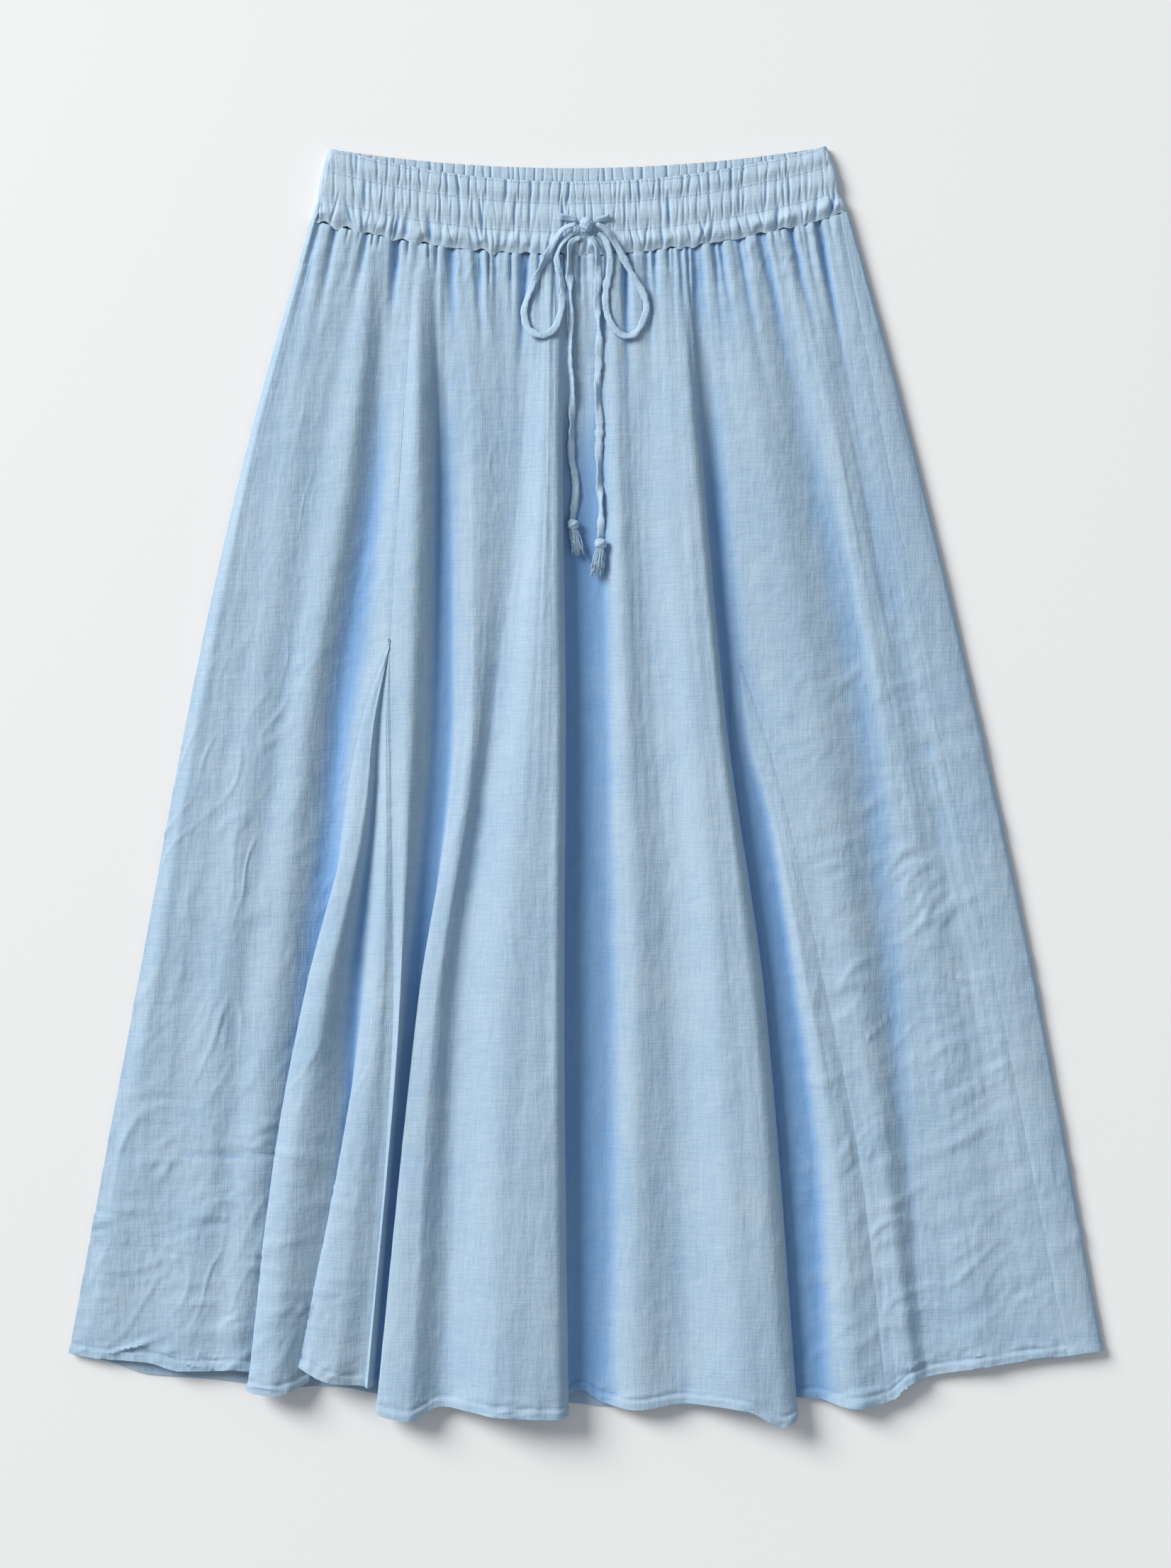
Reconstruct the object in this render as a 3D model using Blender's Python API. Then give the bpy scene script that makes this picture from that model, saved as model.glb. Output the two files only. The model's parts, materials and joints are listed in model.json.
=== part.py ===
"""Maxi skirt of pale blue cotton gauze, laid flat on its back panel.

The origin is under the middle of the skirt. +X is the wearer's left, +Y runs from
hem to waist and +Z is up from the surface. The tables are in millimetres, and `t`
runs down the skirt from 0 at the waist seam to 1 at the hem.
"""
import math
from collections import namedtuple

import bmesh
import bpy
from mathutils import Vector
from mathutils.bvhtree import BVHTree

MM = 0.001
CLOTH = 1.3           # wall of a skirt panel
BAND_CLOTH = 1.8      # wall of the waistband, which is cloth over elastic
SEAM_GAP = 0.3        # between two pieces that are sewn together
GATHER_PITCH = 8.7    # from one gather to the next along the waist seam
GATHER_RISE = 1.6     # how far a gather stands out at the waist seam
GATHER_END = 0.30     # t at which the gathers have run out
WAIST_Z = 6.2         # height of the front at the waist seam
BACK_EDGE_ROLL = 4.0  # width of the turn at the right side

BLUE = (0.40, 0.60, 0.86, 1.0)
BLUE_ROUGHNESS = 0.85

# Rows of points down each panel, with the tops of the two godets among them.
ROWS = (0.0, 0.025, 0.07, 0.13, 0.20, 0.28, 0.351, 0.362, 0.375, 0.45, 0.55, 0.65,
        0.75, 0.87, 1.0)
X_STATIONS = (0.0, 0.20, 0.40, 0.65, 1.0)
Z_STATIONS = (0.0, 0.20, 0.65, 1.0)

# Every ridge, valley and fold edge of the front has a row: where it crosses the
# waist seam, hip, thigh, knee and hem, how far down its hem is, and its height.
Line = namedtuple("Line", "name waist hip thigh knee hem hem_y z_hip z_knee z_hem")

LEFT_LINES = [
    Line("left_side", -198, -244, -281, -319, -372, -408, 3.5, 3.5, 3.5),
    Line("left_roll", -195, -238, -271, -306, -353, -411, 8.0, 8.0, 7.0),
    Line("left_valley_a", -191, -226, -251, -282, -316, -414, 6.0, 7.0, 6.0),
    Line("left_ridge_a", -180, -210, -232, -258, -289, -420, 12.0, 12.0, 10.0),
    Line("left_valley_b", -161, -192, -216, -244, -269, -420, 7.0, 7.0, 7.0),
    Line("left_ridge_b", -152, -171, -198, -222, -255, -419, 15.0, 14.0, 10.0),
    Line("left_valley_c", -142, -152, -175, -194, -231, -424, 5.0, 4.6, 4.6),
]
CENTRE_LINES = [
    Line("first_crest", -120, -122, -126, -133, -157, -431, 17.0, 17.0, 14.0),
    Line("first_edge", -115, -112, -116, -131, -154, -431, 13.0, 12.0, 10.0),
    Line("first_valley", -108, -106, -106, -126, -151, -430, 4.6, 4.6, 4.6),
    Line("second_tuck", -104, -101, -99, -116, -143, -437, 5.0, 5.2, 5.2),
    Line("second_edge", -100, -93, -92, -121, -151, -449, 8.0, 13.0, 14.0),
    Line("second_crest", -88, -80, -82, -109, -128, -454, 12.0, 19.0, 20.0),
    Line("second_valley", -42, -49, -67, -94, -105, -445, 9.0, 9.0, 9.0),
    Line("middle_crest", -29, -31, -39, -54, -63, -450, 17.0, 23.0, 24.0),
    Line("middle_shoulder", -22, -22, -22, -23, -21, -452, 17.0, 22.0, 21.0),
    Line("middle_edge", -18, -17, -15, -16, -13, -449, 12.0, 15.0, 14.0),
    Line("middle_tuck", -15, -17, -19, -20, -17, -442, 8.0, 8.0, 8.0),
    Line("middle_valley", -9, -8, -7, -8, -5, -434, 4.6, 4.6, 4.6),
    Line("third_foot", 5, 10, 11, 13, 12, -443, 7.0, 7.0, 7.0),
    Line("third_crest", 20, 24, 28, 33, 32, -447, 12.0, 14.0, 14.0),
    Line("third_valley", 37, 39, 48, 63, 68, -443, 9.0, 10.0, 9.0),
    Line("fourth_crest", 56, 63, 80, 100, 113, -446, 15.0, 20.0, 19.0),
    Line("fourth_shoulder", 66, 78, 93, 118, 140, -458, 16.0, 19.0, 18.0),
    Line("fourth_edge", 71, 84, 99, 128, 151, -452, 12.0, 13.0, 12.0),
    Line("fourth_tuck", 75, 84, 97, 121, 143, -443, 7.5, 8.4, 8.4),
    Line("fourth_valley", 80, 91, 101, 118, 140, -441, 4.8, 6.4, 6.4),
]
RIGHT_LINES = [
    Line("right_ridge_a", 104, 131, 159, 194, 232, -429, 13.0, 14.0, 12.0),
    Line("right_valley_a", 131, 164, 196, 218, 245, -424, 7.0, 7.0, 6.0),
    Line("right_ridge_b", 149, 182, 213, 247, 281, -418, 11.0, 10.0, 9.0),
    Line("right_valley_b", 169, 197, 228, 271, 312, -413, 8.0, 8.0, 7.0),
]
WRAP_LINES = [
    Line("side_seam", 182, 213, 243, 289, 345, -409, 9.0, 9.0, 8.0),
    Line("wrap", 184, 224, 260, 304, 358, -407, 8.5, 8.5, 7.5),
    Line("right_roll", 186, 231, 270, 315, 368, -406, 6.4, 6.4, 6.0),
    Line("right_side", 188, 233, 273, 318, 371, -406, 3.4, 3.4, 3.4),
]

# A godet's lines start together at its point, which ends the seam above it.
Seam = namedtuple("Seam", "waist hip point z_hip z_point point_t")
LEFT_SEAM = Seam(-123, -134, -141, 13.0, 14.0, 0.351)
RIGHT_SEAM = Seam(87, 100, 110, 8.0, 7.0, 0.362)

GodetLine = namedtuple("GodetLine", "name top upper knee lower hem hem_y z_upper z_knee z_hem")
GODET_STATIONS = (0.42, 0.50, 0.65, 0.80, 1.0)
GODET_Z_STATIONS = (0.50, 0.65, 1.0)
LEFT_GODET = [
    GodetLine("left_godet_start", -161, -174, -188, -203, -225, -426, 8.0, 5.0, 5.0),
    GodetLine("left_godet_edge", -157, -169, -201, -224, -243, -433, 13.0, 13.0, 12.0),
    GodetLine("left_godet_crest", -153, -160, -187, -209, -225, -436, 15.0, 20.0, 19.0),
    GodetLine("left_godet_valley", -149, -153, -165, -171, -197, -423, 8.0, 5.0, 4.8),
    GodetLine("left_godet_edge_b", -146, -148, -157, -175, -207, -416, 11.0, 11.0, 11.0),
    GodetLine("left_godet_crest_b", -143, -143, -147, -161, -182, -427, 15.0, 17.0, 18.0),
    GodetLine("left_godet_end", -140, -139, -138, -144, -159, -430, 15.0, 15.5, 13.0),
]
RIGHT_GODET = [
    GodetLine("right_godet_start", 105, 108, 122, 135, 145, -439, 4.8, 4.6, 4.6),
    GodetLine("right_godet_valley", 110, 126, 146, 160, 165, -440, 4.8, 4.6, 4.6),
    GodetLine("right_godet_crest", 118, 137, 160, 181, 192, -446, 11.0, 14.0, 13.0),
    GodetLine("right_godet_end", 127, 145, 172, 196, 215, -442, 12.0, 12.0, 10.0),
]

# The back's hem, which shows below the front at the left.
HemPoint = namedtuple("HemPoint", "x y")
BACK_HEM = [
    HemPoint(-371, -408), HemPoint(-345, -414), HemPoint(-316, -423), HemPoint(-267, -427),
    HemPoint(-212, -433), HemPoint(-187, -432), HemPoint(-130, -440), HemPoint(-63, -440),
    HemPoint(30, -447), HemPoint(93, -434), HemPoint(220, -426), HemPoint(300, -411),
    HemPoint(371, -406),
]
BACK_COLUMNS = 14

# Rows of the waistband from its top edge to the waist seam. Front and back sag
# below the line between the two sides, and the cloth puffs out between stitches.
BandRow = namedtuple("BandRow", "name left right y_left y_right sag_front sag_back z rise")
BAND_ROWS = [
    BandRow("top_edge", -185.0, 172.0, 457.5, 459.0, 25.0, 14.5, 6.2, 0.8),
    BandRow("first_channel", -188.0, 175.0, 449.5, 452.0, 26.0, 18.5, 7.2, 1.3),
    BandRow("first_stitches", -190.0, 177.5, 441.8, 445.5, 26.0, 22.0, 6.0, 0.5),
    BandRow("second_channel", -192.0, 180.0, 431.5, 436.0, 26.3, 24.0, 7.2, 1.3),
    BandRow("second_stitches", -193.5, 181.5, 421.4, 426.3, 26.5, 25.5, 6.0, 0.5),
    BandRow("third_channel", -196.0, 184.5, 413.5, 419.0, 27.0, 26.5, 7.4, 1.5),
    BandRow("waist_seam", -198.0, 187.5, 406.2, 412.2, 27.5, 27.5, WAIST_Z, 0.5),
]
BAND_GATHERS = 55
BAND_BACK_COLUMNS = 12
BAND_SIDE_STEPS = 3
BAND_INNER_Z = 4.2    # the inside of the front layer, plain under the gathers

# The drawstring's routes over the front, from the knot's side outwards.
CORD_RADIUS = 2.2
CORD_END_TAPER = 0.55
CORD_STEP = 7.0
CORD_LIFT = 0.4       # clear air between a cord and what it lies on
KNOT_CENTRE = (-0.5, 401.5)
KNOT_SIZE = (8.4, 10.4, 6.8)
CORD_ROUTES = {
    "cord_exit_left": [(-7.0, 405.0), (-13.0, 406.5), (-19.4, 407.6)],
    "cord_exit_right": [(6.0, 405.0), (11.0, 406.0), (16.4, 407.0)],
    "cord_loop_left": [
        (-8.0, 402.0), (-18.0, 397.5), (-26.0, 384.5), (-35.0, 367.0), (-42.0, 351.0),
        (-45.0, 340.0), (-43.0, 329.0), (-37.0, 323.0), (-29.0, 322.5), (-22.5, 328.0),
        (-19.0, 338.0), (-17.6, 348.0), (-18.0, 361.0), (-21.0, 373.0), (-21.5, 380.0),
        (-17.0, 389.5), (-9.5, 396.0)],
    "cord_loop_right": [
        (7.0, 402.0), (15.0, 397.0), (23.0, 384.0), (32.0, 367.0), (39.3, 354.5),
        (42.8, 343.7), (40.3, 333.0), (34.7, 324.0), (27.5, 322.0), (20.4, 326.0),
        (15.5, 334.6), (13.4, 346.0), (13.8, 357.0), (16.2, 369.0), (16.2, 381.0),
        (13.0, 390.5), (8.0, 396.0)],
    "cord_tail_left": [
        (-4.5, 393.0), (-11.5, 388.0), (-12.8, 376.4), (-12.2, 356.5), (-11.6, 338.0),
        (-12.0, 320.0), (-12.0, 302.0), (-10.7, 287.6), (-10.7, 260.0), (-11.2, 236.6),
        (-8.7, 224.0), (-8.2, 210.0), (-9.7, 196.0), (-10.1, 191.2)],
    "cord_tail_right": [
        (3.0, 393.0), (7.4, 384.0), (8.0, 365.7), (7.2, 351.0), (7.4, 338.0), (8.7, 325.0),
        (8.7, 306.5), (7.7, 292.7), (7.7, 280.0), (9.2, 260.0), (8.7, 246.8),
        (8.7, 219.3), (9.7, 205.5), (10.2, 192.3), (9.9, 177.2)],
}
# Extra height where cords leave the knot one over another, at a route's two ends.
CORD_START_LIFT = {"cord_loop_left": 4.0, "cord_loop_right": 4.0}
CORD_LIFT_LENGTH = 18.0

# Each tail ends in a knot whose cloth is frayed out below it.
Tassel = namedtuple("Tassel", "name x y lean")
TASSELS = [Tassel("tassel_left", -10.0, 187.0, 5.0), Tassel("tassel_right", 9.8, 173.0, -3.0)]
TASSEL_KNOT = (8.0, 7.4, 6.4)
TASSEL_STRANDS = 12
STRAND_LENGTH = 18.0
STRAND_RADIUS = 0.42
STRAND_DROP = 1.9     # from the knot's middle down to the lowest strand


def clear_scene():
    for scene_object in list(bpy.data.objects):
        bpy.data.objects.remove(scene_object)


def lerp(start, end, part):
    return start + (end - start) * part


def slopes_through(places, values):
    """Slopes of a smooth curve through the values, level at each peak and dip."""
    steps = [(values[i + 1] - values[i]) / max(places[i + 1] - places[i], 1e-9)
             for i in range(len(places) - 1)]
    slopes = [steps[0]]
    for before, after in zip(steps, steps[1:]):
        slopes.append(0.0 if before * after <= 0 else 2 * before * after / (before + after))
    return slopes + [steps[-1]]


def curve_value(places, values, slopes, at):
    """Height at `at` of the curve that slopes_through describes."""
    index = 0
    while index < len(places) - 2 and at > places[index + 1]:
        index += 1
    width = max(places[index + 1] - places[index], 1e-9)
    s = min(max((at - places[index]) / width, 0.0), 1.0)
    return ((1 + 2 * s) * (1 - s) ** 2 * values[index] + s * (1 - s) ** 2 * width * slopes[index]
            + s * s * (3 - 2 * s) * values[index + 1] + s * s * (s - 1) * width * slopes[index + 1])


def smooth(places, values, at):
    return curve_value(places, values, slopes_through(places, values), at)


def waist_seam_y(x, inset=0.0):
    """Where the waist seam runs at x: it sags between the two sides."""
    row = BAND_ROWS[-1]
    part = min(max((x - row.left) / (row.right - row.left), 0.0), 1.0)
    return lerp(row.y_left, row.y_right, part) - row.sag_front * 4 * part * (1 - part) - inset


def down_skirt(waist_x, hem_y, t):
    return lerp(waist_seam_y(waist_x, SEAM_GAP), hem_y, t)


def line_point(line, t):
    x = smooth(X_STATIONS, line[1:6], t)
    side = line.name in ("left_side", "right_side")
    waist_z = line.z_hip if side else WAIST_Z
    z = smooth(Z_STATIONS, (waist_z, line.z_hip, line.z_knee, line.z_hem), t)
    return Vector((x, down_skirt(line.waist, line.hem_y, t), z))


def seam_point(seam, hem_y, t):
    places = (0.0, X_STATIONS[1], seam.point_t)
    x = smooth(places, (seam.waist, seam.hip, seam.point), t)
    z = smooth(places, (WAIST_Z, seam.z_hip, seam.z_point), t)
    return Vector((x, down_skirt(seam.waist, hem_y, t), z))


def godet_point(seam, line, t):
    x = smooth((seam.point_t,) + GODET_STATIONS, (seam.point,) + line[1:6], t)
    z = smooth((seam.point_t,) + GODET_Z_STATIONS,
               (seam.z_point, line.z_upper, line.z_knee, line.z_hem), t)
    return Vector((x, down_skirt(seam.waist, line.hem_y, t), z))


def seam_or_godet(seam, godet, t):
    """One point above the godet's own point, and all of its lines below that."""
    if t <= seam.point_t:
        return [(godet[0].name, seam_point(seam, godet[0].hem_y, t))]
    return [(line.name, godet_point(seam, line, t)) for line in godet]


class Section:
    """The front's section at one t, as a smooth curve through the named points."""

    def __init__(self, t):
        named = [(line.name, line_point(line, t)) for line in LEFT_LINES]
        named += seam_or_godet(LEFT_SEAM, LEFT_GODET, t)
        named += [(line.name, line_point(line, t)) for line in CENTRE_LINES]
        named += seam_or_godet(RIGHT_SEAM, RIGHT_GODET, t)
        named += [(line.name, line_point(line, t)) for line in RIGHT_LINES + WRAP_LINES]
        self.t = t
        self.names = [name for name, _ in named]
        self.points = [point for _, point in named]
        self.places = [0.0]
        for before, after in zip(self.points, self.points[1:]):
            self.places.append(self.places[-1] + max((after - before).length, 0.01))
        self.axes = [[point[axis] for point in self.points] for axis in range(3)]
        self.slopes = [slopes_through(self.places, values) for values in self.axes]

    def index(self, name):
        """Number of a named point. Above its point a godet is all one seam."""
        if name not in self.names:
            name = "left_godet_start" if name == "left_godet_end" else "right_godet_start"
        return self.names.index(name)

    def at(self, place):
        return Vector([curve_value(self.places, self.axes[axis], self.slopes[axis], place)
                       for axis in range(3)])

    def across(self, first, last, steps):
        """Points from one named line to another, half a seam gap in from each."""
        start, end = self.index(first), self.index(last)
        places = [self.places[start] + SEAM_GAP / 2]
        for offset, count in enumerate(steps):
            low, high = self.places[start + offset], self.places[start + offset + 1]
            places += [lerp(low, high, (number + 1) / count) for number in range(count)]
        places[-1] = self.places[end] - SEAM_GAP / 2
        return [self.at(place) for place in places]


def gather_steps(waist_places):
    """Columns between lines: two to a gather, and one where the lines are close."""
    return [max(1, 2 * round((after - before) / GATHER_PITCH))
            for before, after in zip(waist_places, waist_places[1:])]


def grid_normals(grid):
    """Outward direction at each point of rows that run down the skirt."""
    last_row, last_column = len(grid) - 1, len(grid[0]) - 1
    return [[(grid[min(row + 1, last_row)][column] - grid[max(row - 1, 0)][column]).cross(
             grid[row][min(column + 1, last_column)] - grid[row][max(column - 1, 0)]).normalized()
             for column in range(last_column + 1)] for row in range(last_row + 1)]


def gather_rise(t, column, columns):
    """Every other column stands out near the waist, less and less on the way down."""
    if column % 2 == 0 or column == columns - 1 or t >= GATHER_END:
        return 0.0
    return GATHER_RISE * (1 - t / GATHER_END) ** 2


def add_object(name, shape, collection):
    """Make a node of a mesh or a curve, in the skirt's cloth."""
    material = bpy.data.materials.new(name)
    material.use_nodes = True
    shader = material.node_tree.nodes["Principled BSDF"]
    shader.inputs["Base Color"].default_value = BLUE
    shader.inputs["Roughness"].default_value = BLUE_ROUGHNESS
    shape.materials.append(material)
    if isinstance(shape, bpy.types.Mesh):
        shape.shade_smooth()
    node = bpy.data.objects.new(name, shape)
    collection.objects.link(node)
    return node


def cloth_wall(name, outer, inner, collection, loop=False):
    """Loft a wall between an outer and an inner grid of points, closed at its rims."""
    rows, columns = len(outer), len(outer[0])
    form = bmesh.new()
    faces_of = [[[form.verts.new(point * MM) for point in row] for row in grid]
                for grid in (outer, inner)]
    spans = columns if loop else columns - 1

    def cell(a, b, c, d):
        form.faces.new((a, b, c))
        form.faces.new((a, c, d))

    for row in range(rows - 1):
        for column in range(spans):
            beside = (column + 1) % columns
            out, ins = faces_of
            cell(out[row][column], out[row + 1][column],
                 out[row + 1][beside], out[row][beside])
            form.faces.new((ins[row][column], ins[row + 1][beside], ins[row + 1][column]))
            form.faces.new((ins[row][column], ins[row][beside], ins[row + 1][beside]))
    for column in range(spans):
        beside = (column + 1) % columns
        out, ins = faces_of
        cell(out[0][column], out[0][beside], ins[0][beside], ins[0][column])
        cell(out[-1][beside], out[-1][column], ins[-1][column], ins[-1][beside])
    if not loop:
        for row in range(rows - 1):
            out, ins = faces_of
            cell(out[row][0], ins[row][0], ins[row + 1][0], out[row + 1][0])
            cell(out[row][-1], out[row + 1][-1], ins[row + 1][-1], ins[row][-1])
    bmesh.ops.recalc_face_normals(form, faces=form.faces)
    mesh = bpy.data.meshes.new(name)
    form.to_mesh(mesh)
    form.free()
    return add_object(name, mesh, collection)


def panel(name, first, last, steps, rows, collection):
    """A front panel between two named lines, gathered at the waist."""
    plain = [Section(t).across(first, last, steps) for t in rows]
    normals = grid_normals(plain)
    columns = len(plain[0])
    outer = [[point + normals[row][column] * gather_rise(rows[row], column, columns)
              for column, point in enumerate(points)] for row, points in enumerate(plain)]
    inner = [[point - normals[row][column] * CLOTH for column, point in enumerate(points)]
             for row, points in enumerate(plain)]
    return cloth_wall(name, outer, inner, collection)


def back_hem_y(x):
    return smooth([point.x for point in BACK_HEM], [point.y for point in BACK_HEM], x)


def back_panel(collection):
    """The back, from the side seam on the front round the right edge and flat below."""
    grid = []
    for t in ROWS:
        section = Section(t)
        points = section.across("side_seam", "right_side", [1, 1, 1])
        points[-1] = section.points[-1]
        right, left = section.points[-1], section.points[0]
        points.append(Vector((right.x - 0.9, right.y, 1.0)))
        flat_right, flat_left = right.x - BACK_EDGE_ROLL, left.x + 1.0
        for column in range(BACK_COLUMNS + 1):
            part = column / BACK_COLUMNS
            waist_x = lerp(WRAP_LINES[-1].waist - BACK_EDGE_ROLL, LEFT_LINES[0].waist + 1.0, part)
            hem_x = lerp(WRAP_LINES[-1].hem - BACK_EDGE_ROLL, LEFT_LINES[0].hem + 1.0, part)
            y = down_skirt(waist_x, back_hem_y(hem_x), t)
            points.append(Vector((lerp(flat_right, flat_left, part), y, 0.0)))
        grid.append(points)
    normals = grid_normals(grid)
    inner = [[point - normals[row][column] * CLOTH for column, point in enumerate(points)]
             for row, points in enumerate(grid)]
    for points in inner:
        for point in points[-BACK_COLUMNS:]:
            point.z = CLOTH
    return cloth_wall("back_panel", grid, inner, collection)


def band_ring(row, top_z, bottom_z, inset, rise):
    """One closed row of the waistband: front, right side, back and left side."""
    radius = (top_z - bottom_z) / 2
    middle_z = bottom_z + radius
    left, right = row.left + inset + radius, row.right - inset - radius

    def y_at(x, sag):
        part = min(max((x - row.left) / (row.right - row.left), 0.0), 1.0)
        return lerp(row.y_left, row.y_right, part) - sag * 4 * part * (1 - part)

    ring = []
    columns = 2 * BAND_GATHERS
    for column in range(columns + 1):
        x = lerp(left, right, column / columns)
        ring.append(Vector((x, y_at(x, row.sag_front), top_z + (rise if column % 2 else 0.0))))
    for step in range(1, BAND_SIDE_STEPS + 1):
        angle = math.pi * step / (BAND_SIDE_STEPS + 1)
        x = right + radius * math.sin(angle)
        ring.append(Vector((x, y_at(x, row.sag_front), middle_z + radius * math.cos(angle))))
    for column in range(BAND_BACK_COLUMNS + 1):
        x = lerp(right, left, column / BAND_BACK_COLUMNS)
        ring.append(Vector((x, y_at(x, row.sag_back), bottom_z)))
    for step in range(1, BAND_SIDE_STEPS + 1):
        angle = math.pi * step / (BAND_SIDE_STEPS + 1)
        x = left - radius * math.sin(angle)
        ring.append(Vector((x, y_at(x, row.sag_front), middle_z - radius * math.cos(angle))))
    return ring


def waistband(collection):
    outer = [band_ring(row, row.z, 0.0, 0.0, row.rise) for row in BAND_ROWS]
    inner = [band_ring(row, BAND_INNER_Z, BAND_CLOTH, BAND_CLOTH, 0.0) for row in BAND_ROWS]
    return cloth_wall("waistband", outer, inner, collection, loop=True)


def route_curve(route, step):
    """Even points along a smooth curve through a route's hand-placed points."""
    points = [Vector(place) for place in route]
    places = [0.0]
    for before, after in zip(points, points[1:]):
        places.append(places[-1] + (after - before).length)
    ends = [2 * points[0] - points[1]] + points + [2 * points[-1] - points[-2]]
    count = max(2, round(places[-1] / step))
    even = []
    for number in range(count + 1):
        at = places[-1] * number / count
        index = 0
        while index < len(places) - 2 and at > places[index + 1]:
            index += 1
        s = (at - places[index]) / (places[index + 1] - places[index])
        a, b, c, d = ends[index:index + 4]
        even.append(0.5 * (2 * b + (c - a) * s + (2 * a - 5 * b + 4 * c - d) * s * s
                           + (3 * b - a - 3 * c + d) * s ** 3))
    return even


class Ground:
    """The height of the cloth under any place on the front."""

    def __init__(self, nodes):
        self.trees = [BVHTree.FromPolygons([vertex.co for vertex in node.data.vertices],
                                           [face.vertices for face in node.data.polygons])
                      for node in nodes]

    def height(self, x, y, reach):
        """Highest cloth within `reach` of a place."""
        best = 0.0
        spots = [(0.0, 0.0)] + [(reach * math.cos(turn * math.pi / 4),
                                 reach * math.sin(turn * math.pi / 4)) for turn in range(8)]
        for tree in self.trees:
            for dx, dy in spots:
                above = Vector(((x + dx) * MM, (y + dy) * MM, 0.1))
                hit = tree.ray_cast(above, Vector((0.0, 0.0, -1.0)))[0]
                if hit is not None:
                    best = max(best, hit.z / MM)
        return best


def over_ground(route, ground):
    """Lay a route on the cloth, bridging the small dips."""
    fine = route_curve(route, 2.0)
    heights = [ground.height(point.x, point.y, CORD_RADIUS + CORD_LIFT) for point in fine]
    reach = 4
    last = len(fine) - 1
    bridged = [max(heights[max(i - reach, 0):i + reach + 1]) for i in range(last + 1)]
    level = []
    for i in range(last + 1):
        near = bridged[max(i - reach, 0):i + reach + 1]
        level.append(sum(near) / len(near))
    count = max(2, round(2.0 * last / CORD_STEP))
    picked = [round(last * number / count) for number in range(count + 1)]
    return [Vector((fine[i].x, fine[i].y, level[i] + CORD_LIFT + CORD_RADIUS)) for i in picked]


def cord(name, route, ground, collection):
    """One stretch of the drawstring as a plain tube with tapered ends."""
    points = over_ground(route, ground)
    lift = CORD_START_LIFT.get(name, 0.0)
    travelled = 0.0
    for number, point in enumerate(points):
        if number:
            travelled += (point.xy - points[number - 1].xy).length
        point.z += lift * max(0.0, 1 - travelled / CORD_LIFT_LENGTH)
    curve = bpy.data.curves.new(name, "CURVE")
    curve.dimensions = "3D"
    curve.bevel_depth = CORD_RADIUS * MM
    curve.bevel_resolution = 2
    curve.use_fill_caps = True
    spline = curve.splines.new("POLY")
    spline.points.add(len(points) - 1)
    for number, point in enumerate(points):
        spline.points[number].co = (*(point * MM), 1.0)
    at_knot = name.startswith("cord_loop")
    spline.points[0].radius = CORD_END_TAPER
    spline.points[-1].radius = CORD_END_TAPER if at_knot else 0.8
    return add_object(name, curve, collection)


def ball(size, centre, segments=16, rings=10):
    """An ellipsoid of the given size in millimetres."""
    form = bmesh.new()
    bmesh.ops.create_uvsphere(form, u_segments=segments, v_segments=rings, radius=0.5 * MM)
    bmesh.ops.scale(form, vec=Vector(size), verts=form.verts)
    bmesh.ops.translate(form, vec=Vector(centre) * MM, verts=form.verts)
    return form


def bow_knot(ground, collection):
    x, y = KNOT_CENTRE
    z = ground.height(x, y, KNOT_SIZE[0] / 2) + CORD_LIFT + KNOT_SIZE[2] / 2
    form = ball(KNOT_SIZE, (x, y, z))
    mesh = bpy.data.meshes.new("bow_knot")
    form.to_mesh(mesh)
    form.free()
    return add_object("bow_knot", mesh, collection)


def strand_mesh(tassel, z):
    """The frayed strands, side by side in two layers, fanning out to their tips."""
    form = bmesh.new()
    half = TASSEL_STRANDS // 2
    for number in range(TASSEL_STRANDS):
        column, layer = number % half, number // half
        side = (column - (half - 1) / 2) / (half - 1)
        length = STRAND_LENGTH * (1.0 - 0.28 * ((number * 5) % 7) / 6)
        root = Vector((tassel.x + side * 4.6, tassel.y - 1.0, z - 0.9 + 1.8 * layer))
        tip = Vector((tassel.x + tassel.lean + side * 9.0, tassel.y - 3.0 - length,
                      z - 1.4 + 2.8 * layer))
        made = bmesh.ops.create_cone(form, cap_ends=True, segments=4,
                                     radius1=STRAND_RADIUS * MM, radius2=0.6 * STRAND_RADIUS * MM,
                                     depth=(tip - root).length * MM)
        turn = (tip - root).to_track_quat("Z", "Y").to_matrix()
        bmesh.ops.rotate(form, cent=Vector(), matrix=turn, verts=made["verts"])
        bmesh.ops.translate(form, vec=(root + tip) / 2 * MM, verts=made["verts"])
    mesh = bpy.data.meshes.new(tassel.name + "_strands")
    form.to_mesh(mesh)
    form.free()
    return mesh


def tassel_node(tassel, ground, collection, cutters):
    """An end knot joined to the strands that come out of it."""
    under_knot = ground.height(tassel.x, tassel.y, 0.3 * TASSEL_KNOT[0])
    under_tips = max(ground.height(tassel.x + tassel.lean * part, tassel.y - STRAND_LENGTH * part,
                                   TASSEL_KNOT[0] / 2) for part in (0.5, 1.0))
    z = CORD_LIFT + max(under_knot + TASSEL_KNOT[2] / 2, under_tips + STRAND_DROP)
    form = ball(TASSEL_KNOT, (tassel.x, tassel.y, z), segments=14, rings=8)
    mesh = bpy.data.meshes.new(tassel.name)
    form.to_mesh(mesh)
    form.free()
    node = add_object(tassel.name, mesh, collection)
    strands = bpy.data.objects.new(tassel.name + "_strands", strand_mesh(tassel, z))
    strands.hide_render = True
    strands.display_type = "WIRE"
    cutters.objects.link(strands)
    joined = node.modifiers.new("strands", "BOOLEAN")
    joined.operation = "UNION"
    joined.object = strands
    return node


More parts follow.
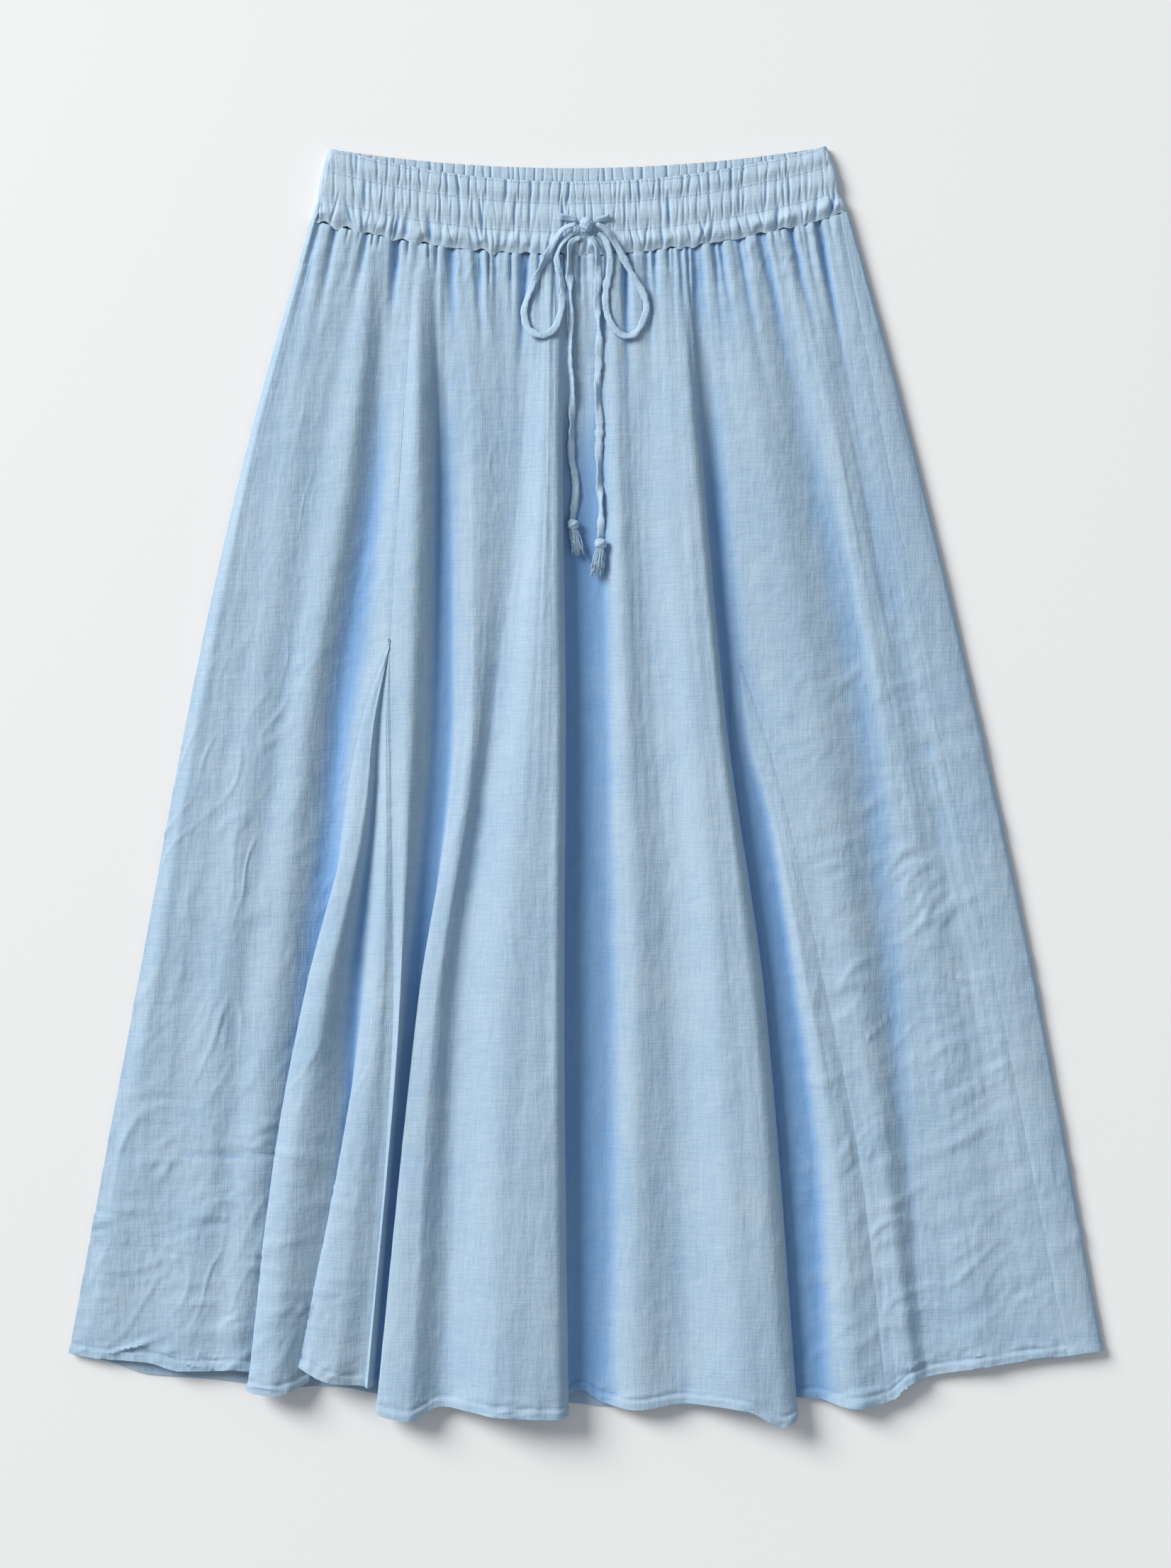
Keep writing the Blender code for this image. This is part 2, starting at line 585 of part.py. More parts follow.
def build():
    clear_scene()
    collection = bpy.data.collections.new("maxi_skirt")
    cutters = bpy.data.collections.new("cutters")
    bpy.context.scene.collection.children.link(collection)
    bpy.context.scene.collection.children.link(cutters)

    left = [line.waist for line in LEFT_LINES] + [LEFT_SEAM.waist]
    centre = [LEFT_SEAM.waist] + [line.waist for line in CENTRE_LINES] + [RIGHT_SEAM.waist]
    right = [RIGHT_SEAM.waist] + [line.waist for line in RIGHT_LINES] + [WRAP_LINES[0].waist]
    fronts = [
        panel("front_left_panel", "left_side", "left_godet_start",
              gather_steps(left), ROWS, collection),
        panel("front_centre_panel", "left_godet_end", "right_godet_start",
              gather_steps(centre), ROWS, collection),
        panel("front_right_panel", "right_godet_end", "side_seam",
              gather_steps(right), ROWS, collection),
    ]
    left_rows = [t for t in ROWS if t > LEFT_SEAM.point_t]
    right_rows = [t for t in ROWS if t > RIGHT_SEAM.point_t]
    panel("godet_left", "left_godet_start", "left_godet_end",
          [2] * (len(LEFT_GODET) - 1), left_rows, collection)
    panel("godet_right", "right_godet_start", "right_godet_end",
          [3] * (len(RIGHT_GODET) - 1), right_rows, collection)
    back_panel(collection)
    band = waistband(collection)

    ground = Ground(fronts + [band])
    bow_knot(ground, collection)
    for name, route in CORD_ROUTES.items():
        cord(name, route, ground, collection)
    for tassel in TASSELS:
        tassel_node(tassel, ground, collection, cutters)


build()
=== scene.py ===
# %% [markdown]
# # A maxi skirt of pale blue cotton gauze, laid flat
#
# The real skirt is three front panels and a back in crinkled double gauze, two godets
# that let the hem flare, a waistband with three rows of elastic and a drawstring.
# Each sewn piece is a sheet, so each is made here as a fine sheet that follows the
# folds which the hard model only roughs out. Everything is in metres: +X runs to the
# picture's right, +Y from hem to waist, and +Z up from the surface.

# %% Load the frame
import bisect
import json
import math
import random
from collections import namedtuple

import bmesh
import bpy
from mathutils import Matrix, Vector, noise
from mathutils.bvhtree import BVHTree

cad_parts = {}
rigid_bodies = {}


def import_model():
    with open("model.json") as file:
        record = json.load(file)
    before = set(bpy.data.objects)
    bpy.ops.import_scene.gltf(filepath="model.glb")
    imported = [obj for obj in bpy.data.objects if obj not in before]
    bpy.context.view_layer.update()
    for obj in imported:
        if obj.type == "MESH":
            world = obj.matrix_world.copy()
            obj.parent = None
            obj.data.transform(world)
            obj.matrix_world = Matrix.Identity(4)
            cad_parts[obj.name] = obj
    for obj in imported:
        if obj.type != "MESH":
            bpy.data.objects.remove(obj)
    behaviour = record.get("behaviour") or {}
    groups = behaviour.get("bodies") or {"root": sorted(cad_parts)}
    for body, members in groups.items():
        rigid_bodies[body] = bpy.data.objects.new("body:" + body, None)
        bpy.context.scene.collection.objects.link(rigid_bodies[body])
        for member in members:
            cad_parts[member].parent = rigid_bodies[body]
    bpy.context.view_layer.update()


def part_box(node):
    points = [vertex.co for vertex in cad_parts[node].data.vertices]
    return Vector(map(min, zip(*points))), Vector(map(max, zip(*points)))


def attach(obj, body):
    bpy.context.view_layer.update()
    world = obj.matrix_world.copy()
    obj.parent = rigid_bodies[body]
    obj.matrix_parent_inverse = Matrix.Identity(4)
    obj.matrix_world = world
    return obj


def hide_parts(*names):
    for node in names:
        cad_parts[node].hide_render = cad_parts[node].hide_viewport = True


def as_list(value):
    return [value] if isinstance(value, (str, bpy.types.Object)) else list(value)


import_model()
MM = 0.001

# %% [markdown]
# ## The camera
#
# The skirt was photographed from straight above. A camera can be placed by eye, or
# worked out: one photo pixel is 0.51 mm of the table here, so the picture's height of
# 2213 pixels covers 1.13 m, and a 70 mm lens must hang 2.2 m up to take that in.

# %% Hang the camera over the middle
PIXEL = 0.51 * MM
PHOTO_WIDTH, PHOTO_HEIGHT = 1652, 2213
LENS, SENSOR = 70.0, 36.0
camera_height = PHOTO_HEIGHT * PIXEL * LENS / SENSOR
camera_data = bpy.data.cameras.new("over_the_table")
camera_data.lens = LENS
camera_data.sensor_width = SENSOR
camera = bpy.data.objects.new("over_the_table", camera_data)
camera.location = (-1.0 * MM, 1.0 * MM, camera_height)
bpy.context.scene.collection.objects.link(camera)
bpy.context.scene.camera = camera
bpy.context.scene.view_settings.view_transform = "Standard"
print("camera height: %.3f m" % camera_height)

# %% [markdown]
# ## The folds, named one by one
#
# Cloth simulation gives folds, but not these ones. The skirt's look is a handful of
# long folds that fan out from the gathers, so each ridge, valley and fold edge has a
# row that says where it crosses the waist seam, hip, thigh, knee and hem, how far
# down its hem is and how high it stands. All of it is in millimetres.

# %% Rows of the front, from left to right
Line = namedtuple("Line", "name waist hip thigh knee hem hem_y z_hip z_knee z_hem")
X_STATIONS = (0.0, 0.20, 0.40, 0.65, 1.0)
Z_STATIONS = (0.0, 0.20, 0.65, 1.0)
SKIRT_LENGTH = 830.0
WAIST_Z = 6.6
SEAM_GAP = 0.3
SEAM_LAP = 0.35

LEFT_LINES = [
    Line("left_side", -198, -244, -281, -319, -372, -408, 3.5, 3.5, 3.5),
    Line("left_roll", -195, -238, -271, -306, -353, -411, 8.0, 8.0, 7.0),
    Line("left_valley_a", -191, -226, -251, -282, -316, -414, 8.4, 7.8, 6.4),
    Line("left_ridge_a", -180, -210, -232, -258, -289, -420, 10.2, 10.3, 9.0),
    Line("left_valley_b", -161, -192, -216, -244, -269, -420, 8.8, 8.8, 7.9),
    Line("left_ridge_b", -152, -171, -198, -222, -255, -419, 13.4, 12.6, 10.0),
    Line("left_valley_c", -142, -152, -175, -194, -231, -424, 5.0, 4.6, 4.6),
]
CENTRE_LINES = [
    Line("first_crest", -120, -122, -126, -133, -157, -431, 19.0, 19.0, 15.0),
    Line("first_edge", -115, -112, -116, -131, -154, -431, 13.0, 12.0, 10.0),
    Line("first_valley", -108, -106, -106, -126, -151, -430, 4.6, 4.6, 4.6),
    Line("second_tuck", -104, -101, -99, -116, -143, -437, 5.0, 5.2, 5.2),
    Line("second_edge", -100, -93, -92, -121, -151, -449, 8.0, 12.0, 13.0),
    Line("second_crest", -88, -80, -82, -109, -128, -454, 12.0, 17.0, 18.0),
    Line("second_valley", -42, -49, -67, -94, -105, -445, 9.0, 9.0, 9.0),
    Line("middle_crest", -29, -31, -39, -54, -63, -450, 18.0, 24.0, 25.0),
    Line("middle_shoulder", -22, -22, -22, -23, -21, -452, 19.0, 24.0, 23.0),
    Line("middle_edge", -18, -17, -15, -16, -13, -449, 12.0, 15.0, 14.0),
    Line("middle_tuck", -15, -17, -19, -20, -17, -442, 8.0, 8.0, 8.0),
    Line("middle_valley", -9, -8, -7, -8, -5, -434, 4.6, 4.6, 4.6),
    Line("third_foot", 5, 10, 11, 13, 12, -443, 5.6, 5.4, 5.6),
    Line("third_crest", 20, 24, 30, 36, 35, -447, 12.0, 14.0, 14.0),
    Line("third_valley", 37, 39, 48, 63, 68, -443, 9.0, 10.0, 9.0),
    Line("fourth_crest", 56, 63, 80, 100, 113, -446, 16.0, 22.0, 21.0),
    Line("fourth_shoulder", 66, 78, 93, 118, 140, -458, 18.0, 22.0, 20.0),
    Line("fourth_edge", 71, 84, 99, 128, 151, -452, 12.0, 13.0, 12.0),
    Line("fourth_tuck", 75, 84, 97, 121, 143, -443, 7.5, 8.4, 8.4),
    Line("fourth_valley", 80, 91, 101, 118, 140, -441, 4.6, 5.0, 5.0),
]
RIGHT_LINES = [
    Line("right_ridge_a", 104, 131, 159, 194, 232, -429, 13.0, 14.0, 12.0),
    Line("right_valley_a", 131, 164, 196, 218, 245, -424, 7.0, 7.0, 6.0),
    Line("right_ridge_b", 149, 182, 213, 247, 281, -418, 11.0, 10.0, 9.0),
    Line("right_valley_b", 169, 197, 228, 271, 312, -413, 8.0, 8.0, 7.0),
]
WRAP_LINES = [
    Line("side_seam", 182, 213, 243, 289, 345, -409, 9.0, 9.0, 8.0),
    Line("wrap", 184, 224, 260, 304, 358, -407, 8.5, 8.5, 7.5),
    Line("right_roll", 186, 231, 270, 315, 368, -406, 6.4, 6.4, 6.0),
    Line("right_side", 188, 233, 273, 318, 371, -406, 3.4, 3.4, 3.4),
]
print("fold lines:", len(LEFT_LINES + CENTRE_LINES + RIGHT_LINES + WRAP_LINES))

# %% [markdown]
# ## The two godets
#
# A godet is a wedge of cloth let into a seam, so all its lines start from one point.
# They could be short panels of their own. Here they share the front's sections, so
# that the folds run across the seams without a step.

# %% Rows of the godets, from their points down
Seam = namedtuple("Seam", "waist hip point z_hip z_point point_t")
LEFT_SEAM = Seam(-123, -134, -141, 13.0, 14.0, 0.351)
RIGHT_SEAM = Seam(87, 100, 110, 8.0, 7.0, 0.362)

GodetLine = namedtuple("GodetLine", "name top upper knee lower hem hem_y z_upper z_knee z_hem")
GODET_STATIONS = (0.42, 0.50, 0.65, 0.80, 1.0)
GODET_Z_STATIONS = (0.50, 0.65, 1.0)
LEFT_GODET = [
    GodetLine("left_godet_start", -161, -174, -188, -203, -225, -426, 8.0, 5.0, 5.0),
    GodetLine("left_godet_edge", -157, -169, -201, -224, -243, -433, 13.0, 13.0, 12.0),
    GodetLine("left_godet_crest", -153, -160, -187, -209, -225, -436, 15.0, 20.0, 19.0),
    GodetLine("left_godet_valley", -149, -153, -165, -171, -197, -423, 8.0, 5.0, 4.8),
    GodetLine("left_godet_edge_b", -146, -148, -157, -175, -207, -416, 11.0, 11.0, 11.0),
    GodetLine("left_godet_crest_b", -143, -143, -147, -161, -182, -427, 15.0, 17.0, 18.0),
    GodetLine("left_godet_end", -140, -139, -138, -144, -159, -430, 15.0, 15.5, 13.0),
]
RIGHT_GODET = [
    GodetLine("right_godet_start", 105, 108, 122, 135, 145, -439, 4.8, 4.6, 4.6),
    GodetLine("right_godet_valley", 110, 126, 146, 160, 165, -440, 4.8, 4.6, 4.6),
    GodetLine("right_godet_crest", 118, 137, 160, 181, 192, -446, 11.0, 14.0, 13.0),
    GodetLine("right_godet_end", 127, 145, 172, 196, 215, -442, 12.0, 12.0, 10.0),
]
print("godets' points, mm below the waist seam: %.0f and %.0f"
      % (LEFT_SEAM.point_t * SKIRT_LENGTH, RIGHT_SEAM.point_t * SKIRT_LENGTH))

# %% [markdown]
# ## The waistband's rows
#
# Three channels of elastic lie between four lines of stitching. Front and back both
# sag between the sides, and the front sags more, so that the inside of the back shows
# above it.

# %% Rows of the waistband, from its top edge to the waist seam
BandRow = namedtuple("BandRow", "name left right y_left y_right sag_front sag_back z puff")
BAND_ROWS = [
    BandRow("top_edge", -185.0, 172.0, 457.5, 459.0, 25.0, 14.5, 6.6, 0.8),
    BandRow("first_channel", -188.0, 175.0, 449.5, 452.0, 26.0, 18.5, 7.8, 1.0),
    BandRow("first_stitches", -190.0, 177.5, 441.8, 445.5, 26.0, 22.0, 6.9, 0.7),
    BandRow("second_channel", -192.0, 180.0, 431.5, 436.0, 26.3, 24.0, 8.0, 1.0),
    BandRow("second_stitches", -193.5, 181.5, 421.4, 426.3, 26.5, 25.5, 6.9, 0.7),
    BandRow("third_channel", -196.0, 184.5, 413.5, 419.0, 27.0, 26.5, 8.4, 1.1),
    BandRow("waist_seam", -198.0, 187.5, 406.2, 412.2, 27.5, 27.5, 5.6, 0.3),
]
print("waist seam: %.0f mm across" % (BAND_ROWS[-1].right - BAND_ROWS[-1].left))

# %% [markdown]
# ## Smooth curves through a few values
#
# The rows above give only a few places for each fold. A curve between them must not
# overshoot, or a valley would dip through the back. This one is level at each peak
# and dip, and otherwise takes the harmonic mean of the slopes on both sides.


# %% Curves without overshoot
def lerp(start, end, part):
    return start + (end - start) * part


def ease(part):
    part = min(max(part, 0.0), 1.0)
    return part * part * (3 - 2 * part)


def slopes_through(places, values):
    steps = [(values[i + 1] - values[i]) / max(places[i + 1] - places[i], 1e-9)
             for i in range(len(places) - 1)]
    slopes = [steps[0]]
    for before, after in zip(steps, steps[1:]):
        slopes.append(0.0 if before * after <= 0 else 2 * before * after / (before + after))
    return slopes + [steps[-1]]


def curve_value(places, values, slopes, at):
    index = 0
    while index < len(places) - 2 and at > places[index + 1]:
        index += 1
    width = max(places[index + 1] - places[index], 1e-9)
    s = min(max((at - places[index]) / width, 0.0), 1.0)
    return ((1 + 2 * s) * (1 - s) ** 2 * values[index] + s * (1 - s) ** 2 * width * slopes[index]
            + s * s * (3 - 2 * s) * values[index + 1] + s * s * (s - 1) * width * slopes[index + 1])


def smooth(places, values, at):
    return curve_value(places, values, slopes_through(places, values), at)


def band_y(row, x, sag):
    """How far up a place on the band lies. Each row sags between its sides."""
    part = min(max((x - row.left) / (row.right - row.left), 0.0), 1.0)
    return lerp(row.y_left, row.y_right, part) - sag * 4 * part * (1 - part)


def waist_seam_y(x, inset=0.0):
    return band_y(BAND_ROWS[-1], x, BAND_ROWS[-1].sag_front) - inset


def down_skirt(waist_x, hem_y, t):
    return lerp(waist_seam_y(waist_x, SEAM_GAP), hem_y, t)


print("the waist seam sags to y = %.0f mm" % waist_seam_y(0.0))

# %% [markdown]
# ## One section of the front
#
# At each distance down the skirt, the named lines give points from side to side, and
# a curve runs through them. Where a fold's edge laps over the next valley, the curve
# turns back on itself, as the cloth does.


# %% Sections across the front
def line_point(line, t):
    side = line.name in ("left_side", "right_side")
    waist_z = line.z_hip if side else WAIST_Z
    return (line.waist, Vector((
        smooth(X_STATIONS, line[1:6], t), down_skirt(line.waist, line.hem_y, t),
        smooth(Z_STATIONS, (waist_z, line.z_hip, line.z_knee, line.z_hem), t))))


def seam_point(seam, hem_y, t):
    places = (0.0, X_STATIONS[1], seam.point_t)
    return (seam.waist, Vector((
        smooth(places, (seam.waist, seam.hip, seam.point), t), down_skirt(seam.waist, hem_y, t),
        smooth(places, (WAIST_Z, seam.z_hip, seam.z_point), t))))


def godet_point(seam, line, t):
    return (seam.waist, Vector((
        smooth((seam.point_t,) + GODET_STATIONS, (seam.point,) + line[1:6], t),
        down_skirt(seam.waist, line.hem_y, t),
        smooth((seam.point_t,) + GODET_Z_STATIONS,
               (seam.z_point, line.z_upper, line.z_knee, line.z_hem), t))))


def seam_or_godet(seam, godet, t):
    if t <= seam.point_t:
        return [(godet[0].name,) + seam_point(seam, godet[0].hem_y, t)]
    return [(line.name,) + godet_point(seam, line, t) for line in godet]


class Section:
    """The front's section at one t, as a smooth curve through the named points."""

    def __init__(self, t):
        named = [(line.name,) + line_point(line, t) for line in LEFT_LINES]
        named += seam_or_godet(LEFT_SEAM, LEFT_GODET, t)
        named += [(line.name,) + line_point(line, t) for line in CENTRE_LINES]
        named += seam_or_godet(RIGHT_SEAM, RIGHT_GODET, t)
        named += [(line.name,) + line_point(line, t) for line in RIGHT_LINES + WRAP_LINES]
        self.names = [entry[0] for entry in named]
        self.waist = [entry[1] for entry in named]
        points = [entry[2] for entry in named]
        self.places = [0.0]
        for before, after in zip(points, points[1:]):
            self.places.append(self.places[-1] + max((after - before).length, 0.01))
        self.axes = [[point[axis] for point in points] for axis in range(3)]
        self.slopes = [slopes_through(self.places, values) for values in self.axes]

    def index(self, name):
        if name not in self.names:
            name = "left_godet_start" if name == "left_godet_end" else "right_godet_start"
        return self.names.index(name)

    def at(self, place):
        return Vector([curve_value(self.places, self.axes[axis], self.slopes[axis], place)
                       for axis in range(3)])


print("the front follows %.0f mm of cloth along the hem" % Section(1.0).places[-1])

# %% [markdown]
# ## Gathers, ripples and crinkles
#
# Gathered gauze isn't an even row of pleats. It is nearly flat cloth with sharp narrow
# creases, at uneven places, and each runs out at its own distance. A wave would look
# like pleats, so each small crease is thrown from a fixed seed: its place, length,
# depth and lean. The long ones that the eye follows have rows of their own. Gauze also
# keeps fine lengthwise ripples, and small creases across them where it was folded
# away. All are added along a sheet's normals, from functions of the place on the
# cloth, so that each fold keeps its own sharpness.

# %% Throw the creases of the gathers
Crease = namedtuple("Crease", "x length depth width lean")
CREASE_NEAR = 11.0
CREASE_WANDER = 0.9


def thrown_creases(seed, first, last, spacing, length, depth, width, lean):
    dice = random.Random(seed)
    creases = []
    x = first + dice.uniform(*spacing) / 2
    while x < last:
        long_one = dice.random() ** 2
        creases.append(Crease(x, lerp(length[0], length[1], long_one),
                              dice.uniform(*depth) * (1.0 + 0.9 * long_one),
                              dice.uniform(*width) * (1.0 + 1.6 * long_one),
                              dice.uniform(-lean, lean)))
        x += dice.uniform(*spacing)
    return creases


def creased(creases, places, x, down, widen=0.0):
    """How far the creases near x press the cloth in, at a distance down from them."""
    pressed = 0.0
    first = bisect.bisect_left(places, x - CREASE_NEAR)
    for crease in creases[first:bisect.bisect_right(places, x + CREASE_NEAR)]:
        if down < crease.length:
            wander = CREASE_WANDER * noise.noise(Vector((crease.x, down / 30.0, 3.0)))
            away = ((x - crease.x - wander - crease.lean * down)
                    / (crease.width * (1 + widen * down)))
            pressed += (crease.depth * (1.0 - ease(down / crease.length))
                        * math.exp(-away * away))
    return pressed


SKIRT_CREASES = thrown_creases(5, -197, 187, (3.6, 11.5), (12, 170), (0.9, 2.7), (0.7, 1.15), 0.04)
SKIRT_CREASE_X = [crease.x for crease in SKIRT_CREASES]
LONG_CREASES = [
    Crease(-180, 120, 2.8, 2.4, 0.0), Crease(-158, 95, 3.0, 2.2, 0.0),
    Crease(-136, 75, 5.0, 2.6, 0.0), Crease(-121, 45, 2.8, 1.6, 0.0),
    Crease(-97, 95, 4.6, 3.4, -0.03), Crease(-80, 60, 1.8, 1.6, 0.0),
    Crease(-66, 85, 2.4, 2.0, 0.0), Crease(-45, 105, 4.4, 2.6, 0.0),
    Crease(-34, 60, 2.6, 1.5, 0.0), Crease(-22, 80, 3.0, 1.8, 0.0),
    Crease(27, 75, 3.0, 2.0, 0.0), Crease(48, 55, 2.6, 1.5, 0.0),
    Crease(67, 100, 3.6, 2.2, 0.0), Crease(77, 130, 4.2, 2.4, 0.0),
    Crease(109, 140, 3.8, 2.4, 0.01), Crease(125, 170, 4.0, 2.6, 0.01),
    Crease(146, 125, 4.0, 2.6, 0.02), Crease(166, 105, 3.4, 2.4, 0.03),
]
LONG_CREASE_X = [crease.x for crease in LONG_CREASES]
print("creases below the band:", len(SKIRT_CREASES) + len(LONG_CREASES))

# %% Relief of the gauze, in millimetres
def noise_at(x, y, seed):
    return noise.noise(Vector((x, y, seed)))


def gathers(waist_x, t):
    """Creases and soft swells below the waistband."""
    down = t * SKIRT_LENGTH
    swell = noise_at(waist_x / 7.0, t * 9.0, 13.0) * (1.0 - ease(t / 0.25))
    return (1.3 * swell + 0.5 * (1.0 - ease(t / 0.12))
            - creased(SKIRT_CREASES, SKIRT_CREASE_X, waist_x, down, 0.009)
            - creased(LONG_CREASES, LONG_CREASE_X, waist_x, down, 0.004)
            - 0.8 * (1.0 - ease(down / 3.0)))


def ripples(cloth_x, t):
    """Lengthwise ripples, by the distance along the hem, so that they widen downwards."""
    grown = ease(t / 0.05)
    broad = noise_at(cloth_x / 24.0, t * 3.0, 17.0)
    coarse = noise_at(cloth_x / 12.0, t * 7.0, 11.0)
    fine = noise_at(cloth_x / 6.0, t * 14.0, 23.0)
    return grown * (1.6 * broad + 0.9 * coarse + 0.45 * fine)


def thin_folds(x, y, long, apart, seed):
    """Thin raised lines where slow noise passes through nothing, with flat cloth between."""
    bend = 1.3 * noise_at(x / 60.0, y / 45.0, seed + 5.0)
    line = max(0.0, 1.0 - abs(noise_at(x / long, y / apart + bend, seed)) / 0.16)
    return line * max(0.0, 0.25 + noise_at(x / 40.0, y / 30.0, seed + 9.0))


def crinkles(x, y):
    """Small creases across the ripples, strongest near the left hem and on the right."""
    even = (0.5 * noise_at(x / 8.0, y / 6.0, 31.0) + 0.6 * noise_at(x / 15.0, y / 12.0, 37.0)
            + 0.9 * thin_folds(0.3 * x + y, x - 0.3 * y, 60.0, 16.0, 71.0)
            + 0.7 * thin_folds(x - 0.5 * y, y + 0.5 * x, 40.0, 18.0, 79.0))
    rising, rising_up = 0.90 * x + 0.44 * y, -0.44 * x + 0.90 * y
    steep, steep_up = 0.42 * x + 0.91 * y, -0.91 * x + 0.42 * y
    low_left = ease((-170.0 - y) / 110.0) * ease((-120.0 - x) / 80.0)
    low_middle = ease((-300.0 - y) / 90.0)
    left_side = ease((-150.0 - x) / 60.0) * ease((140.0 - y) / 100.0)
    right_side = ease((x - 110.0) / 80.0) * ease((200.0 - y) / 200.0)
    return (even + 5.0 * low_left * thin_folds(x, y, 60.0, 11.0, 41.0)
            + 1.0 * low_left * noise_at(x / 40.0, y / 10.0, 43.0)
            + 3.4 * right_side * thin_folds(rising, rising_up, 60.0, 14.0, 53.0)
            + 1.3 * right_side * noise_at(rising / 60.0, rising_up / 13.0, 57.0)
            + 2.7 * left_side * thin_folds(steep, steep_up, 70.0, 17.0, 59.0)
            + 1.4 * low_middle * thin_folds(x, y, 45.0, 9.0, 67.0))


def old_crease(x, y):
    """The one sharp crease from folding, across the left panel."""
    if not -352.0 < x < -222.0:
        return 0.0
    line = -266.0 + 4.0 * noise_at(x / 40.0, 0.0, 61.0)
    return -1.3 * math.exp(-((y - line) / 2.6) ** 2) * ease((x + 352.0) / 20.0)


def hem_relief(t):
    """The hem is turned twice and stitched 6 mm up."""
    up = (1.0 - t) * SKIRT_LENGTH
    return 0.8 * ease((6.4 - up) / 1.4) - 0.7 * math.exp(-((up - 7.4) / 1.1) ** 2)


print("deepest gather, mm:", round(min(gathers(x, 0.01) for x in range(-197, 187)), 1))

# %% [markdown]
# ## A sheet that follows the sections
#
# A flat grid from bmesh is the simplest sheet. Its columns are shared out between the
# named lines and its rows down the skirt, and each vertex moves to its place on the
# section. Then the relief is added and the edges at seams are drawn in. Rows crowd
# together at the waist seam and the hem, where the cloth changes most over a few
# millimetres. The UV map keeps the cloth's own coordinates.

# %% Share out the columns and rows
ROW_LENGTH = 4.0
COLUMN_WIDTH = 2.7
HEM_ROWS, NEAR_HEM_ROWS, WAIST_ROWS = 10.5, 16.5, 24.0
QUICK_STEP = 1


def column_places(section_hem, waists, first, last, width, fewest=4):
    """Pairs of interval and part of it, for each column from one line to another."""
    start, end = section_hem.index(first), section_hem.index(last)
    places = [(0, 0.0)]
    for interval in range(end - start):
        hem_width = section_hem.places[start + interval + 1] - section_hem.places[start + interval]
        waist_width = 2.2 * abs(waists[interval + 1] - waists[interval])
        count = max(fewest, round(max(hem_width, waist_width) / width))
        places += [(interval, (number + 1) / count) for number in range(count)]
    return places


def row_parts(t_start, row_length):
    """How far down each row lies. Rows crowd together at the waist seam and the hem."""
    parts = [t_start]
    while parts[-1] < 1.0:
        left = (1.0 - parts[-1]) * SKIRT_LENGTH
        above = parts[-1] * SKIRT_LENGTH
        step = row_length
        if left < HEM_ROWS:
            step = 1.3 * QUICK_STEP
        elif above < WAIST_ROWS or left < NEAR_HEM_ROWS:
            step = 2.0 * QUICK_STEP
        parts.append(parts[-1] + step / SKIRT_LENGTH)
    parts[-1] = 1.0
    return parts


print("rows down the centre panel:", len(row_parts(0.0, ROW_LENGTH)))

# %% [markdown]
# ## Shade that is tinted
#
# Deep in a fold, light has gone from cloth to cloth, so blue gauze looks bluer there.
# A material could find such places by ambient occlusion, but an exported model loses
# that. So each vertex keeps how low it lies, and the material paints that shade in.

# %% Note how low each place lies
PAINTED_SHADE_FULL_BELOW, PAINTED_SHADE_NONE_ABOVE = 3.5, 10.5
HOLLOW_FROM, HOLLOW_OVER, HOLLOW_SHADE_SHARE = 0.3, 4.0, 0.7
PAINTED_SHADE_EDGE_X, PAINTED_SHADE_TOP_Y = 245.0, 320.0


def mark_painted_shade(form, hollows):
    """Note how low each place lies, as the share of painted fold shade in its colour."""
    depth = form.verts.layers.float["depth"]
    for vert, hollow in hollows.items():
        height = vert.co.z / MM
        low = ((1.0 - ease((height - PAINTED_SHADE_FULL_BELOW) / (PAINTED_SHADE_NONE_ABOVE - PAINTED_SHADE_FULL_BELOW)))
               * ease((PAINTED_SHADE_EDGE_X - abs(vert.co.x / MM)) / 30.0)
               * ease((PAINTED_SHADE_TOP_Y - vert.co.y / MM) / 130.0))
        # Painted shade: more the lower the cloth lies, fading out at the sides and the top, and more
        # where a crease presses in.
        vert[depth] = max(low, HOLLOW_SHADE_SHARE * ease((hollow - HOLLOW_FROM) / HOLLOW_OVER))


print("cloth above %.1f mm isn't tinted" % PAINTED_SHADE_NONE_ABOVE)

# %% [markdown]
# ## A wall for each sheet
#
# Crinkled gauze is about a millimetre thick. A Solidify modifier could make its wall,
# but would round the shading over the thin edge. So the sheet is copied a wall's depth
# below itself, the two are joined round the rim, and the rim's corners are kept sharp.

# %% Give a sheet its wall
CLOTH_WALL = 0.9 * MM
RIM_ANGLE = math.radians(65)


def sheet_area(form):
    return sum(face.calc_area() for face in form.faces)


def add_wall(form, wall):
    """Give the sheet a second side below it, and close the rim between the two."""
    form.normal_update()
    inward = {vert: vert.normal * -wall for vert in form.verts}
    rim = [edge for edge in form.edges if edge.is_boundary]
    copied = bmesh.ops.duplicate(form, geom=form.verts[:] + form.edges[:] + form.faces[:])
    twin = copied["vert_map"]
    for vert, move in inward.items():
        twin[vert].co += move
    bmesh.ops.reverse_faces(form, faces=[item for item in copied["geom"]
                                         if isinstance(item, bmesh.types.BMFace)])
    for edge in rim:
        loop = edge.link_loops[0]
        start, end = loop.vert, loop.link_loop_next.vert
        form.faces.new((end, start, twin[start], twin[end])).smooth = True


def finish_piece(name, form, nodes=()):
    """Turn a form into a smooth object that rides on the skirt."""
    for face in form.faces:
        face.smooth = True
    mesh = bpy.data.meshes.new(name)
    form.to_mesh(mesh)
    form.free()
    piece = bpy.data.objects.new(name, mesh)
    bpy.context.scene.collection.objects.link(piece)
    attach(piece, "root")
    if nodes:
        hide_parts(*nodes)
    return piece


